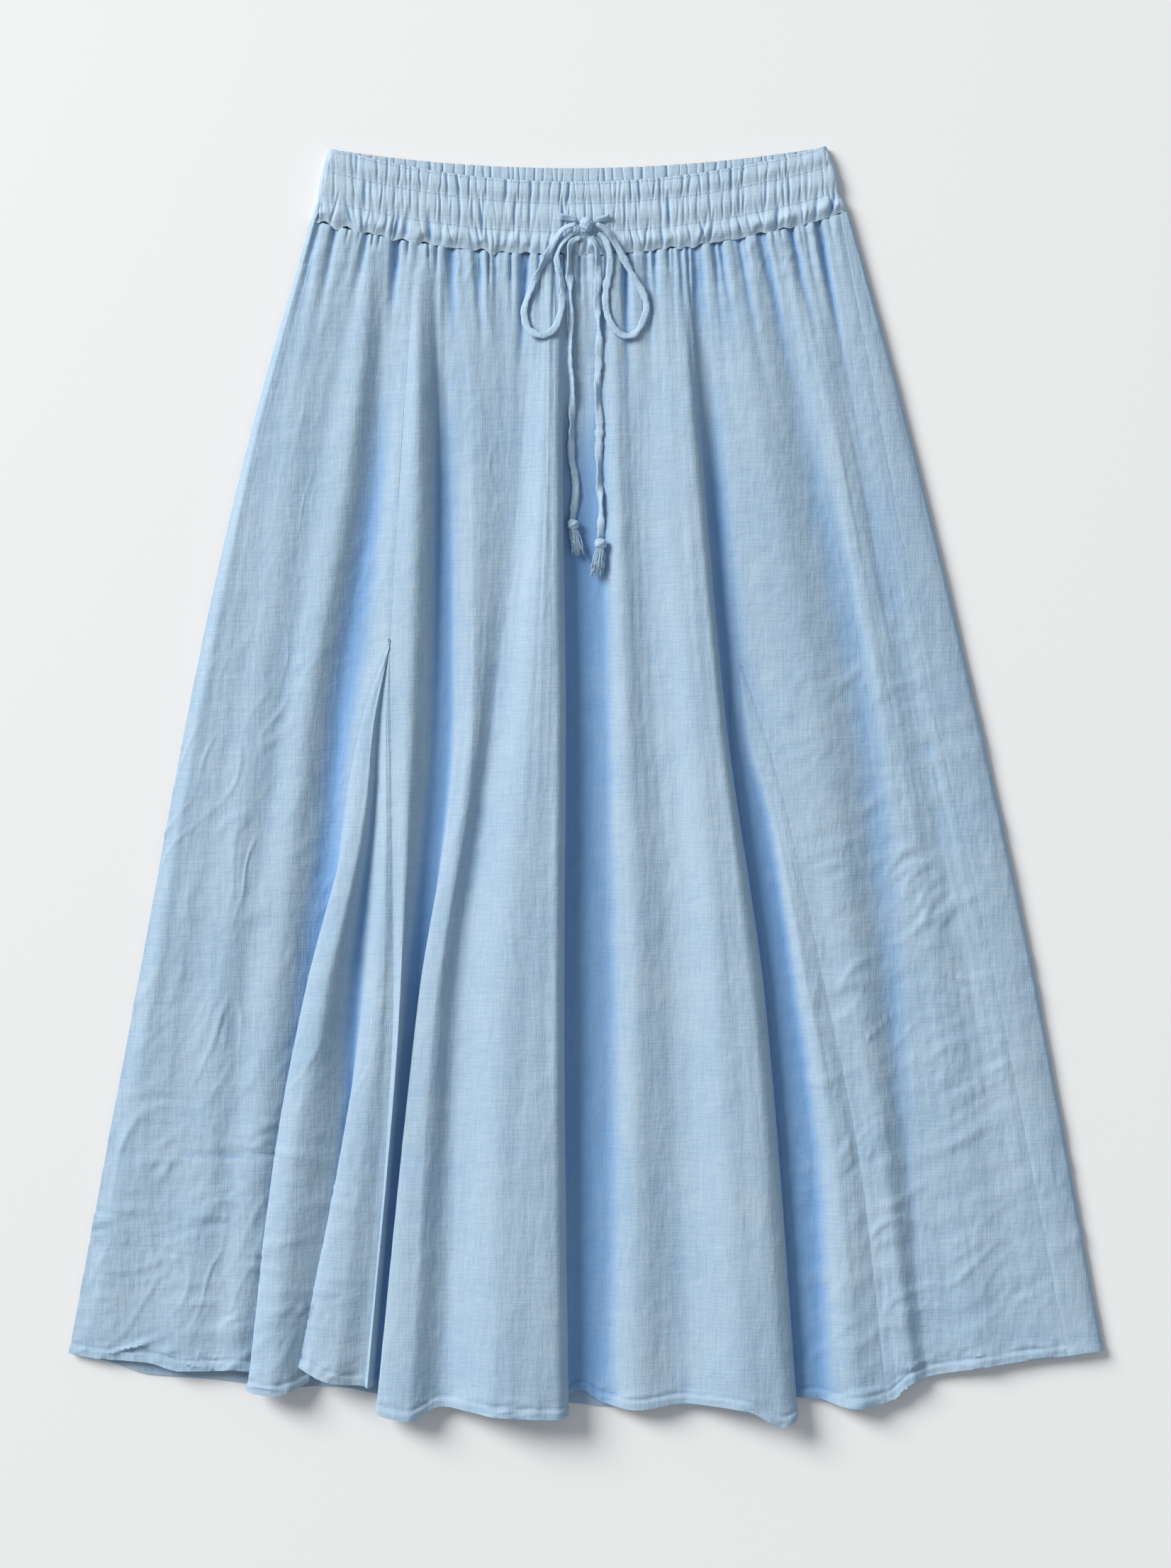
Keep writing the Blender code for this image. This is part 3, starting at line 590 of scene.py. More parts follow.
def finish_sheet(name, form, wall=CLOTH_WALL):
    """Turn a bmesh sheet into a walled piece, with sharp corners round its rim."""
    add_wall(form, wall)
    form.normal_update()
    for edge in form.edges:
        edge.smooth = not edge.is_manifold or edge.calc_face_angle() < RIM_ANGLE
    return finish_piece(name, form)


print("wall of a panel: %.1f mm" % (CLOTH_WALL / MM))

# %% Make the panels of the front
FINE_SHARE = 0.52


def front_panel(name, first, last, t_start=0.0, sewn_left=True, sewn_right=True, fine=1.0):
    hem = Section(1.0)
    hem_start = hem.index(first)
    waists = hem.waist[hem_start:hem.index(last) + 1]
    places = column_places(hem, waists, first, last, COLUMN_WIDTH * fine)
    parts_down = row_parts(t_start, ROW_LENGTH * fine)
    rows = len(parts_down) - 1
    form = bmesh.new()
    # The depth attribute holds painted shade for the folds.
    form.verts.layers.float.new("depth")
    bmesh.ops.create_grid(form, x_segments=len(places) - 1, y_segments=rows, size=1.0)
    sections = [Section(t) for t in parts_down]
    spots = {}
    for vert in form.verts:
        column = round((vert.co.x + 1) / 2 * (len(places) - 1))
        row = round((1 - vert.co.y) / 2 * rows)
        section, t = sections[row], parts_down[row]
        start, end = section.index(first), section.index(last)
        interval, part = places[column]
        place = lerp(section.places[start + interval], section.places[start + interval + 1], part)
        waist_x = lerp(waists[interval], waists[interval + 1], part)
        cloth_x = lerp(hem.places[hem_start + interval], hem.places[hem_start + interval + 1], part)
        edge = min(place - section.places[start] if sewn_left else 99.0,
                   section.places[end] - place if sewn_right else 99.0)
        spots[vert] = (waist_x, cloth_x, t, edge)
        if edge < 0.01:
            place += SEAM_LAP if place > section.places[start] + 1.0 else -SEAM_LAP
        vert.co = section.at(place)
    form.normal_update()
    moves, hollows = {}, {}
    for vert, (waist_x, cloth_x, t, edge) in spots.items():
        x, y = vert.co.x, vert.co.y
        calm = lerp(1.0, 0.5, ease((-150.0 - x) / 50.0))
        rise = (gathers(waist_x, t) + calm * ripples(cloth_x, t) + crinkles(x, y) + old_crease(x, y)
                + hem_relief(t))
        pucker = 0.5 * noise_at(y / 6.0, 0.0, 71.0) * (1.0 - ease(edge / 7.0))
        drawn_in = -0.25 * (1.0 - ease(edge / 2.2))
        rise *= 0.35 + 0.65 * ease(edge / 6.0)
        steep = max(0.25, vert.normal.z)
        quiet = lerp(1.0, FINE_SHARE, ease(t / 0.08)) if t < 0.985 else 1.0
        moves[vert] = vert.normal * (rise * steep * quiet + pucker + drawn_in)
        hollows[vert] = -rise
    for vert, move in moves.items():
        vert.co = (vert.co + move) * MM
    across = form.loops.layers.uv.new("cloth")
    for face in form.faces:
        for loop in face.loops:
            waist_x, cloth_x, t, edge = spots[loop.vert]
            loop[across].uv = (cloth_x * MM, -t * SKIRT_LENGTH * MM)
    area = sheet_area(form)
    # Paint shade into the low places and pressed creases of the sheet.
    mark_painted_shade(form, hollows)
    piece = finish_sheet(name, form)
    print("%s: %d columns, %d rows, %.3f square metres" % (name, len(places), rows, area))
    return piece


front_left = front_panel("cloth_front_left", "left_side", "left_godet_start",
                         sewn_left=False, fine=0.7)
front_centre = front_panel("cloth_front_centre", "left_godet_end", "right_godet_start")
front_right = front_panel("cloth_front_right", "right_godet_end", "side_seam", fine=0.7)
godet_left = front_panel("cloth_godet_left", "left_godet_start", "left_godet_end",
                         LEFT_SEAM.point_t + 0.0015, fine=0.75)
godet_right = front_panel("cloth_godet_right", "right_godet_start", "right_godet_end",
                          RIGHT_SEAM.point_t + 0.0015, fine=0.75)

# %% [markdown]
# ## The back panel
#
# The back lies flat on the table. At the right it comes round the edge as far as the
# side seam, which has rolled to the front. It is one sheet: a few columns over the
# top, a tight turn at the side and the flat back below.

# %% Make the back in one sheet
HemPoint = namedtuple("HemPoint", "x y")
BACK_HEM = [
    HemPoint(-371, -408), HemPoint(-345, -414), HemPoint(-316, -423), HemPoint(-267, -427),
    HemPoint(-212, -433), HemPoint(-187, -432), HemPoint(-130, -440), HemPoint(-63, -440),
    HemPoint(30, -447), HemPoint(93, -434), HemPoint(220, -426), HemPoint(300, -411),
    HemPoint(371, -406),
]
BACK_ROLL = 4.0
WRAP_COLUMNS = 24
TURN_COLUMNS = 5
FLAT_COLUMNS = 110
back_hem_x = [point.x for point in BACK_HEM]
back_hem_y = [point.y for point in BACK_HEM]


def back_point(section, t, column):
    """Where a column of the back lies, counted from the side seam round and under."""
    first, last = section.index("side_seam"), section.index("right_side")
    right = section.at(section.places[last])
    if column <= WRAP_COLUMNS:
        part = column / WRAP_COLUMNS
        place = lerp(section.places[first] - SEAM_LAP, section.places[last], part)
        return section.at(place)
    column -= WRAP_COLUMNS
    if column <= TURN_COLUMNS:
        angle = math.pi / 2 * column / TURN_COLUMNS
        return Vector((right.x - BACK_ROLL * (1 - math.cos(angle)), right.y,
                       right.z * (1 - math.sin(angle))))
    part = (column - TURN_COLUMNS) / FLAT_COLUMNS
    left = section.at(0.0)
    waist_x = lerp(WRAP_LINES[-1].waist - BACK_ROLL, LEFT_LINES[0].waist + 1.0, part)
    hem_x = lerp(WRAP_LINES[-1].hem - BACK_ROLL, LEFT_LINES[0].hem + 1.0, part)
    y = down_skirt(waist_x, smooth(back_hem_x, back_hem_y, hem_x), t)
    return Vector((lerp(right.x - BACK_ROLL, left.x + 1.0, part), y, 0.0))


back_rows = round(SKIRT_LENGTH / ROW_LENGTH)
back_columns = WRAP_COLUMNS + TURN_COLUMNS + FLAT_COLUMNS
UNDERSIDE_FOLDS = 1.6
back_form = bmesh.new()
bmesh.ops.create_grid(back_form, x_segments=back_columns, y_segments=back_rows, size=1.0)
back_sections = [Section(row / back_rows) for row in range(back_rows + 1)]
back_spots = {}
for vert in back_form.verts:
    column = round((vert.co.x + 1) / 2 * back_columns)
    row = round((1 - vert.co.y) / 2 * back_rows)
    back_spots[vert] = (column, row / back_rows)
    vert.co = back_point(back_sections[row], row / back_rows, column)
back_form.normal_update()
back_moves = {}
for vert, (column, t) in back_spots.items():
    on_top = 1.0 - ease(column / WRAP_COLUMNS - 0.6)
    rise = 0.0
    if column <= WRAP_COLUMNS:
        cloth_x = back_sections[-1].places[-1] - 26.0 * (1.0 - column / WRAP_COLUMNS)
        rise = (0.6 * ripples(cloth_x, t) + 0.4 * crinkles(vert.co.x, vert.co.y)
                + hem_relief(t)) * on_top - 0.25 * (1.0 - ease(column / 2.0))
    elif column > WRAP_COLUMNS + TURN_COLUMNS:
        pressed = noise_at(vert.co.x / 22.0, vert.co.y / 120.0, 73.0)
        rise = -UNDERSIDE_FOLDS * max(0.0, pressed) * ease((vert.co.y + 440.0) / 40.0)
    back_moves[vert] = vert.normal * rise
for vert, move in back_moves.items():
    vert.co = (vert.co + move) * MM
    vert.co.z = max(vert.co.z, 0.0)
cloth_uv = back_form.loops.layers.uv.new("cloth")
for face in back_form.faces:
    for loop in face.loops:
        column, t = back_spots[loop.vert]
        loop[cloth_uv].uv = (column * 0.005, -t * SKIRT_LENGTH * MM)
sheet_area(back_form)
back = finish_sheet("cloth_back", back_form, 1.2 * MM)

# %% [markdown]
# ## The elastic waistband
#
# The band is a tube of cloth, gathered over three rows of elastic. It could be two
# strips. One ring is truer, because its sides are rolled and not cut. A grid is bent
# round into the ring, its two ends are merged, and the gathers are added to each
# channel with their own spacing, so that they shift at each line of stitching.

# %% Measures of the waistband
BAND_WALL = 1.1
BAND_HOLLOW = 2.2
BAND_ACROSS = 1400
BAND_DOWN = 30
band_places = [row / (len(BAND_ROWS) - 1) for row in range(len(BAND_ROWS))]
band_columns = list(zip(*[row[1:] for row in BAND_ROWS]))


def band_row(v):
    """The band's measures at v, from 0 at its top edge to 1 at the waist seam."""
    return BandRow("between", *[smooth(band_places, list(values), v) for values in band_columns])


print("rows of the band: %d, %d across" % (BAND_DOWN, BAND_ACROSS))

# %% [markdown]
# ## Creases between the rows of elastic
#
# Each row of elastic gathers the cloth in its own way, so a crease seldom goes on past
# a line of stitching. One pattern for the whole band would run through them. So each
# channel has creases thrown from its own seed, and they fade out at its two edges.

# %% Throw the band's own creases
BAND_CREASES = [
    thrown_creases(21, -199, 189, (3.0, 9.5), (60, 70), (0.3, 1.4), (0.38, 0.6), 0.12),
    thrown_creases(22, -199, 189, (3.0, 9.5), (60, 70), (0.3, 1.4), (0.38, 0.6), 0.08),
    thrown_creases(23, -199, 189, (3.0, 9.0), (60, 70), (0.4, 1.7), (0.5, 0.85), 0.30),
]
BAND_CREASE_X = [[crease.x for crease in creases] for creases in BAND_CREASES]


def band_gather(x, v):
    """Creases that shift at each line of stitching, and soft swells between them."""
    pressed = 0.0
    for channel in range(3):
        share = max(0.0, 1.0 - 1.6 * max(0.0, abs(v * 3.0 - channel - 0.5) - 0.38))
        if share > 0.0:
            wander = 0.9 * noise_at(x / 5.0, v * 5.0, 19.0)
            pressed = max(pressed, share * creased(
                BAND_CREASES[channel], BAND_CREASE_X[channel], x + wander, v * 50.0 - channel * 17.0))
    swell = noise_at(x / 7.0, v * 4.0, 29.0) * (0.3 + 1.2 * ease((v - 0.66) / 0.1))
    return 0.4 + swell - pressed


print("creases in the three channels:", [len(creases) for creases in BAND_CREASES])

# %% [markdown]
# ## The band as one ring
#
# A place on the band is found by walking round it: along the front, over the right
# side, back along the underside and over the left side. The sides are half circles, so
# that the band is rolled there as elastic is. The underside is pressed flat by the table.

# %% Bend a grid into the waistband
SIDE_SHIFT, SIDE_SHARE = 3, 0.6
UNDERSIDE_Z = 1.3


def band_point(around, v):
    """A place on the ring: the front first, then the right side, back and left side."""
    row = band_row(v)
    radius = row.z / 2
    left, right = row.left + radius, row.right - radius
    side = math.pi * radius
    total = 2 * (right - left) + 2 * side
    walked = around * total

    if walked <= right - left:
        x = left + walked
        return Vector((x, band_y(row, x, row.sag_front), row.z)), x, 1.0, row.puff
    walked -= right - left
    if walked <= side:
        angle = walked / radius
        x = right + radius * math.sin(angle)
        place = Vector((x, band_y(row, x, row.sag_front), radius * (1 + math.cos(angle))))
        return place, x + SIDE_SHIFT, SIDE_SHARE, row.puff
    walked -= side
    if walked <= right - left:
        x = right - walked
        return Vector((x, band_y(row, x, row.sag_back), 0.0)), x, -1.0, row.puff
    walked -= right - left
    angle = walked / radius
    x = left - radius * math.sin(angle)
    place = Vector((x, band_y(row, x, row.sag_front), radius * (1 - math.cos(angle))))
    return place, x - SIDE_SHIFT, SIDE_SHARE, row.puff


band_form = bmesh.new()
# The band's depth attribute holds painted shade for its creases.
band_painted_shade = band_form.verts.layers.float.new("depth")
bmesh.ops.create_grid(band_form, x_segments=BAND_ACROSS, y_segments=BAND_DOWN, size=1.0)
for vert in band_form.verts:
    around, v = (vert.co.x + 1) / 2, (1 - vert.co.y) / 2
    point, x, face_up, puff = band_point(around % 1.0, v)
    lift = band_gather(x if face_up > 0 else -x, v) * puff
    if face_up < 0:
        point.z = max(0.0, UNDERSIDE_Z + lift)
    else:
        point.z = max(point.z + face_up * lift, 0.0)
    seam_wave = 4.4 * noise_at(x / 8.0, 0.0, 83.0) * ease((v - 0.8) / 0.15) - 0.5 * (v > 0.98)
    point.y += seam_wave - 0.35 * ease(1.0 - v / 0.06) * noise_at(x / 3.0, 0.0, 87.0)
    vert.co = point * MM
    # Painted shade in the band's creases: the deeper the crease, the more.
    vert[band_painted_shade] = 0.6 * ease(-lift / BAND_HOLLOW)
bmesh.ops.remove_doubles(band_form, verts=band_form.verts, dist=0.02 * MM)
bmesh.ops.recalc_face_normals(band_form, faces=band_form.faces)
sheet_area(band_form)
waistband = finish_sheet("cloth_waistband", band_form, BAND_WALL * MM)

# %% [markdown]
# ## Rows of stitching on the band
#
# Each row of elastic is held by a line of zigzag stitches. A dashed texture would do
# from far off. Small rounded stitches that lie on the cloth catch the light, so each
# is a stretched ball, turned one way and then the other, dropped on the band by a ray.


# %% Find the cloth's height under a place
class Ground:
    def __init__(self, pieces):
        self.trees = []
        for piece in pieces:
            mesh = piece.data
            self.trees.append(BVHTree.FromPolygons(
                [vertex.co.copy() for vertex in mesh.vertices],
                [tuple(face.vertices) for face in mesh.polygons]))

    def height(self, x, y, reach=0.0):
        best = 0.0
        spots = [(0.0, 0.0)]
        if reach:
            spots += [(reach * math.cos(turn * math.pi / 4), reach * math.sin(turn * math.pi / 4))
                      for turn in range(8)]
        for tree in self.trees:
            for dx, dy in spots:
                hit = tree.ray_cast(Vector(((x + dx) * MM, (y + dy) * MM, 0.1)),
                                    Vector((0.0, 0.0, -1.0)))[0]
                if hit is not None:
                    best = max(best, hit.z / MM)
        return best


ground = Ground([front_left, front_centre, front_right, waistband])
print("cloth under the knot: %.1f mm high" % ground.height(0.0, 398.0))

# %% Lay the stitches
STITCH_LENGTH, STITCH_WIDTH = 1.9, 0.42
STITCH_SPACING, STITCH_LIFT = 1.8, 0.12


def lay_stitches(name, rows, tilt):
    form = bmesh.new()
    for v in rows:
        row = band_row(v)
        count = int((row.right - row.left - 12.0) / STITCH_SPACING)
        for number in range(count):
            x = row.left + 6.0 + (number + 0.5) * STITCH_SPACING
            part = (x - row.left) / (row.right - row.left)
            y = band_y(row, x, row.sag_front)
            z = ground.height(x, y) + STITCH_LIFT
            slope = -row.sag_front * 4 * (1 - 2 * part) / (row.right - row.left)
            angle = math.atan(slope) + (tilt if number % 2 else -tilt)
            made = bmesh.ops.create_icosphere(form, subdivisions=1, radius=0.5 * MM)
            bmesh.ops.scale(form, vec=(STITCH_LENGTH, STITCH_WIDTH, STITCH_WIDTH),
                            verts=made["verts"])
            bmesh.ops.rotate(form, cent=Vector(), matrix=Vector((
                math.cos(angle), math.sin(angle), 0.0)).to_track_quat("X", "Z").to_matrix(),
                verts=made["verts"])
            bmesh.ops.translate(form, vec=Vector((x, y, z)) * MM, verts=made["verts"])
    return finish_piece(name, form)


band_stitches = lay_stitches("band_stitches", (0.03, 2 / 6, 4 / 6), 0.5)
print("stitches on the band:", len(band_stitches.data.polygons) // 20)

# %% [markdown]
# ## The drawstring
#
# The cord is a strip of the same gauze, turned inside out, so it is soft, a little
# flat and twisted. A round bevel would look like rope. Here a flattened profile with
# a groove runs along the given route, and its tilt turns slowly. The route is
# laid over the gathers with rays, and bridges the small dips between them.

# %% Routes of the cords, in millimetres
CORD_WIDTH, CORD_THICKNESS = 5.6, 2.5
CORD_LIFT = 0.1
CORD_GROOVE, CORD_SWELL, CORD_ROUGH = 0.30, 0.36, 0.36
CORD_STEP = 2.0
CORD_ROUTES = {
    "cord_exit_left": [(-7.0, 405.0), (-13.0, 406.5), (-19.4, 407.6)],
    "cord_exit_right": [(6.0, 405.0), (11.0, 406.0), (16.4, 407.0)],
    "cord_loop_left": [
        (-8.0, 402.0), (-18.0, 397.5), (-26.0, 384.5), (-35.0, 367.0), (-42.0, 351.0),
        (-45.0, 340.0), (-43.0, 329.0), (-37.0, 323.0), (-29.0, 322.5), (-22.5, 328.0),
        (-19.0, 338.0), (-17.6, 348.0), (-18.0, 361.0), (-21.0, 373.0), (-21.5, 380.0),
        (-17.0, 389.5), (-9.5, 396.0)],
    "cord_loop_right": [
        (7.0, 402.0), (15.0, 397.0), (23.0, 384.0), (32.0, 367.0), (39.3, 354.5),
        (42.8, 343.7), (40.3, 333.0), (34.7, 324.0), (27.5, 322.0), (20.4, 326.0),
        (15.5, 334.6), (13.4, 346.0), (13.8, 357.0), (16.2, 369.0), (16.2, 381.0),
        (13.0, 390.5), (8.0, 396.0)],
    "cord_tail_left": [
        (-4.5, 393.0), (-11.5, 388.0), (-12.8, 376.4), (-12.2, 356.5), (-11.6, 338.0),
        (-12.0, 320.0), (-12.0, 302.0), (-10.7, 287.6), (-10.7, 260.0), (-11.2, 236.6),
        (-8.7, 224.0), (-8.2, 210.0), (-9.7, 196.0), (-10.1, 191.2)],
    "cord_tail_right": [
        (3.0, 393.0), (7.4, 384.0), (8.0, 365.7), (7.2, 351.0), (7.4, 338.0), (8.7, 325.0),
        (8.7, 306.5), (7.7, 292.7), (7.7, 280.0), (9.2, 260.0), (8.7, 246.8),
        (8.7, 219.3), (9.7, 205.5), (10.2, 192.3), (9.9, 177.2)],
}
CORD_START_LIFT = {"cord_loop_left": 4.0, "cord_loop_right": 4.0}
CORD_LIFT_LENGTH = 18.0
print("cords:", ", ".join(CORD_ROUTES))

# %% Lay a route on the cloth
def route_curve(route, step):
    points = [Vector(place) for place in route]
    places = [0.0]
    for before, after in zip(points, points[1:]):
        places.append(places[-1] + (after - before).length)
    ends = [2 * points[0] - points[1]] + points + [2 * points[-1] - points[-2]]
    count = max(2, round(places[-1] / step))
    even = []
    for number in range(count + 1):
        at = places[-1] * number / count
        index = 0
        while index < len(places) - 2 and at > places[index + 1]:
            index += 1
        s = (at - places[index]) / (places[index + 1] - places[index])
        a, b, c, d = ends[index:index + 4]
        even.append(0.5 * (2 * b + (c - a) * s + (2 * a - 5 * b + 4 * c - d) * s * s
                           + (3 * b - a - 3 * c + d) * s ** 3))
    return even


def laid_points(name, route):
    fine = route_curve(route, CORD_STEP)
    heights = [ground.height(point.x, point.y, 1.8) for point in fine]
    reach, last = 4, len(fine) - 1
    bridged = [max(heights[max(i - reach, 0):i + reach + 1]) for i in range(last + 1)]
    points = []
    travelled = 0.0
    for i, point in enumerate(fine):
        near = bridged[max(i - reach, 0):i + reach + 1]
        z = sum(near) / len(near) + CORD_LIFT + CORD_THICKNESS / 2
        if i:
            travelled += (point - fine[i - 1]).length
        z += CORD_START_LIFT.get(name, 0.0) * max(0.0, 1 - travelled / CORD_LIFT_LENGTH)
        points.append(Vector((point.x, point.y, z)) * MM)
    return points


print("the cords lie %.1f mm above the cloth" % CORD_LIFT)

# %% Run a flattened, twisted strip along each route
def strip_profile():
    """A flattened ring with a groove along one side, where the strip is folded."""
    curve = bpy.data.curves.new("strip_profile", "CURVE")
    curve.dimensions = "2D"
    spline = curve.splines.new("POLY")
    sides = 16
    spline.points.add(sides - 1)
    for number in range(sides):
        angle = 2 * math.pi * number / sides
        on_top = math.sin(angle) > 0
        groove = 1.0 - CORD_GROOVE * math.exp(-((math.cos(angle) - 0.2) / 0.28) ** 2) * on_top
        spline.points[number].co = (0.5 * CORD_WIDTH * MM * math.cos(angle),
                                    0.5 * CORD_THICKNESS * MM * math.sin(angle) * groove, 0, 1)
    spline.use_cyclic_u = True
    profile = bpy.data.objects.new("strip_profile", curve)
    bpy.context.scene.collection.objects.link(profile)
    return profile


def cord_piece(name, route, profile):
    points = laid_points(name, route)
    curve = bpy.data.curves.new(name, "CURVE")
    curve.dimensions = "3D"
    curve.twist_mode = "Z_UP"
    curve.bevel_mode = "OBJECT"
    curve.bevel_object = profile
    curve.use_fill_caps = True
    spline = curve.splines.new("POLY")
    spline.points.add(len(points) - 1)
    looped = name.startswith("cord_loop")
    for number, point in enumerate(points):
        along = number * CORD_STEP
        from_end = min(number, len(points) - 1 - number if looped else 99) * CORD_STEP
        spline.points[number].co = (*point, 1.0)
        turns = 1.6 if looped else 2.4
        spline.points[number].tilt = turns * noise_at(along / 26.0, points[0].x / MM, 91.0)
        spline.points[number].radius = (0.55 + 0.45 * ease(from_end / 10.0)) * (
            (0.90 if looped else 1.0) + CORD_SWELL * noise_at(along / 5.0, 0.0, 97.0))
    draft = bpy.data.objects.new(name + "_draft", curve)
    bpy.context.scene.collection.objects.link(draft)
    bpy.context.view_layer.update()
    evaluated = draft.evaluated_get(bpy.context.evaluated_depsgraph_get())
    mesh = bpy.data.meshes.new_from_object(evaluated)
    mesh.name = name
    bpy.data.objects.remove(draft)
    form = bmesh.new()
    form.from_mesh(mesh)
    bmesh.ops.remove_doubles(form, verts=form.verts, dist=0.01 * MM)
    bmesh.ops.recalc_face_normals(form, faces=form.faces)
    form.normal_update()
    for vert in form.verts:
        spot = vert.co / MM
        rough = noise.noise(Vector((spot.x / 1.6, spot.y / 2.4, spot.z / 1.6)))
        vert.co += vert.normal * MM * CORD_ROUGH * rough
    form.to_mesh(mesh)
    form.free()
    mesh.shade_smooth()
    piece = bpy.data.objects.new("gauze_" + name, mesh)
    bpy.context.scene.collection.objects.link(piece)
    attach(piece, "root")
    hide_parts(name)
    length = sum((after - before).length for before, after in zip(points, points[1:]))
    print("%s: %.0f mm long" % (name, length / MM))
    return piece, points, length


profile = strip_profile()
cords = {name: cord_piece(name, route, profile) for name, route in CORD_ROUTES.items()}
bpy.data.objects.remove(profile)

# %% [markdown]
# ## The knots
#
# A tied knot in soft cord is a lump with the strip wound over it. It could be tied as
# a curve, but at this size the windings are what shows. A ball is stretched to the
# knot's size, and soft ridges run round it where the turns lie.


# %% Make a lump wound with cord
WINDING, LUMPINESS = 0.16, 0.09


def wound_lump(form, centre, size, turns, lean, seed):
    made = bmesh.ops.create_uvsphere(form, u_segments=48, v_segments=32, radius=0.5)
    for vert in made["verts"]:
        direction = vert.co.normalized()
        along = direction.y + lean * direction.x
        winding = 1.0 + WINDING * abs(math.cos(turns * math.pi * along)) ** 0.8 - WINDING / 2
        crease = 1.0 + LUMPINESS * noise.noise(direction * 2.6 + Vector((seed, 0, 0)))
        vert.co = Vector((direction.x * size[0], direction.y * size[1],
                          direction.z * size[2])) * 0.5 * winding * crease
        vert.co = (vert.co + Vector(centre)) * MM
    return made["verts"]


def finish_lump(node, form):
    bmesh.ops.recalc_face_normals(form, faces=form.faces)
    return finish_piece("gauze_" + node, form, [node])


knot_low, knot_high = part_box("bow_knot")
knot_centre = [(knot_low[axis] + knot_high[axis]) / 2 / MM for axis in range(3)]
knot_form = bmesh.new()
wound_lump(knot_form, knot_centre, (9.6, 11.2, 7.4), 1.7, 0.45, 2.0)
bow_knot = finish_lump("bow_knot", knot_form)
print("faces in the bow's knot:", len(bow_knot.data.polygons))

# %% [markdown]
# ## The frayed ends
#
# Below the knot at the end of each tail the gauze is frayed into threads. Each thread
# is a thin tube of four sides, bent a little at random from a fixed seed, with its root
# inside the knot. Particle hair can't be measured or kept.

# %% Fray the two tails
threads = random.Random(7)
Tassel = namedtuple("Tassel", "node x y lean")
TASSELS = [Tassel("tassel_left", -10.0, 187.0, 5.0), Tassel("tassel_right", 9.8, 173.0, -3.0)]
THREADS_EACH = 90
THREAD_BENDS = 5


def thread(form, root, tip, radius, sway):
    """One thread: a four-sided tube, bent along its length."""
    ring = bmesh.ops.create_circle(form, cap_ends=True, segments=4, radius=radius * MM)["verts"]
    direction = (tip - root).normalized()
    bmesh.ops.rotate(form, cent=Vector(), matrix=direction.to_track_quat("Z", "Y").to_matrix(),
                     verts=ring)
    bmesh.ops.translate(form, vec=root * MM, verts=ring)
    edges = [edge for vert in ring for edge in vert.link_edges if edge.verts[0] == vert]
    place = root
    for bend in range(1, THREAD_BENDS + 1):
        part = bend / THREAD_BENDS
        target = root.lerp(tip, part) + sway * math.sin(math.pi * part * 1.3)
        made = bmesh.ops.extrude_edge_only(form, edges=edges)["geom"]
        ring = [item for item in made if isinstance(item, bmesh.types.BMVert)]
        edges = [item for item in made if isinstance(item, bmesh.types.BMEdge)
                 and all(vert in ring for vert in item.verts)]
        bmesh.ops.translate(form, vec=(target - place) * MM, verts=ring)
        place = target
    bmesh.ops.contextual_create(form, geom=edges)


tied_ends = {}
for tassel in TASSELS:
    low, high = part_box(tassel.node)
    middle = Vector((tassel.x, tassel.y, (high[2] / MM) - 3.2))
    form = bmesh.new()
    wound_lump(form, middle, (8.6, 8.0, 6.6), 0.9, -0.6, tassel.x)
    for number in range(THREADS_EACH):
        side = threads.uniform(-1.0, 1.0)
        depth = threads.uniform(-1.0, 1.0)
        length = threads.uniform(11.0, 20.5)
        root = middle + Vector((side * 2.3, -1.6, depth * 1.2))
        tip = middle + Vector((tassel.lean * length / 20.0 + side * threads.uniform(3.0, 5.2),
                               -3.0 - length, depth * 1.9))
        sway = Vector((threads.uniform(-1.3, 1.3), 0.0, threads.uniform(-0.4, 0.5)))
        thread(form, root, tip, threads.uniform(0.16, 0.34), sway)
    tied_ends[tassel.node] = finish_lump(tassel.node, form)
    print("%s: %d threads" % (tassel.node, THREADS_EACH))

# %% [markdown]
# ## The gauze
#
# Double gauze is pale blue and matt, with an uneven open weave. It looks deeper in
# the folds, by light that bounces from cloth to cloth and by light that comes through.
# More bounces would cost render time, so the depth attribute paints that shade in as a
# deeper blue, and a blue sheen stands for the fuzz that glows at the edge of a fold.
# The threads are too fine to model, so noise stretched both ways gives the slubs and
# two wave textures give the weave.


# %% Nodes that make slubs and weave
def streaks(tree, scale, detail, stretch):
    """Noise on the cloth's place, stretched along one way."""
    mapping = tree.nodes.new("ShaderNodeMapping")
    mapping.inputs["Scale"].default_value = stretch
    texture = tree.nodes.new("ShaderNodeTexNoise")
    texture.inputs["Scale"].default_value = scale
    texture.inputs["Detail"].default_value = detail
    place = tree.nodes["Texture Coordinate"]
    tree.links.new(place.outputs["Object"], mapping.inputs["Vector"])
    tree.links.new(mapping.outputs["Vector"], texture.inputs["Vector"])
    return texture.outputs["Fac"]


def threads_along(tree, direction, weave):
    texture = tree.nodes.new("ShaderNodeTexWave")
    texture.bands_direction = direction
    texture.inputs["Scale"].default_value = weave
    texture.inputs["Distortion"].default_value = 1.5
    texture.inputs["Detail"].default_value = 2.0
    texture.inputs["Detail Scale"].default_value = 3.0
    place = tree.nodes["Texture Coordinate"]
    tree.links.new(place.outputs["Object"], texture.inputs["Vector"])
    return texture.outputs["Fac"]


def join(tree, operation, first, second):
    node = tree.nodes.new("ShaderNodeMath")
    node.operation = operation
    for socket, value in zip(node.inputs, (first, second)):
        if isinstance(value, float):
            socket.default_value = value
        else:
            tree.links.new(value, socket)
    return node.outputs[0]


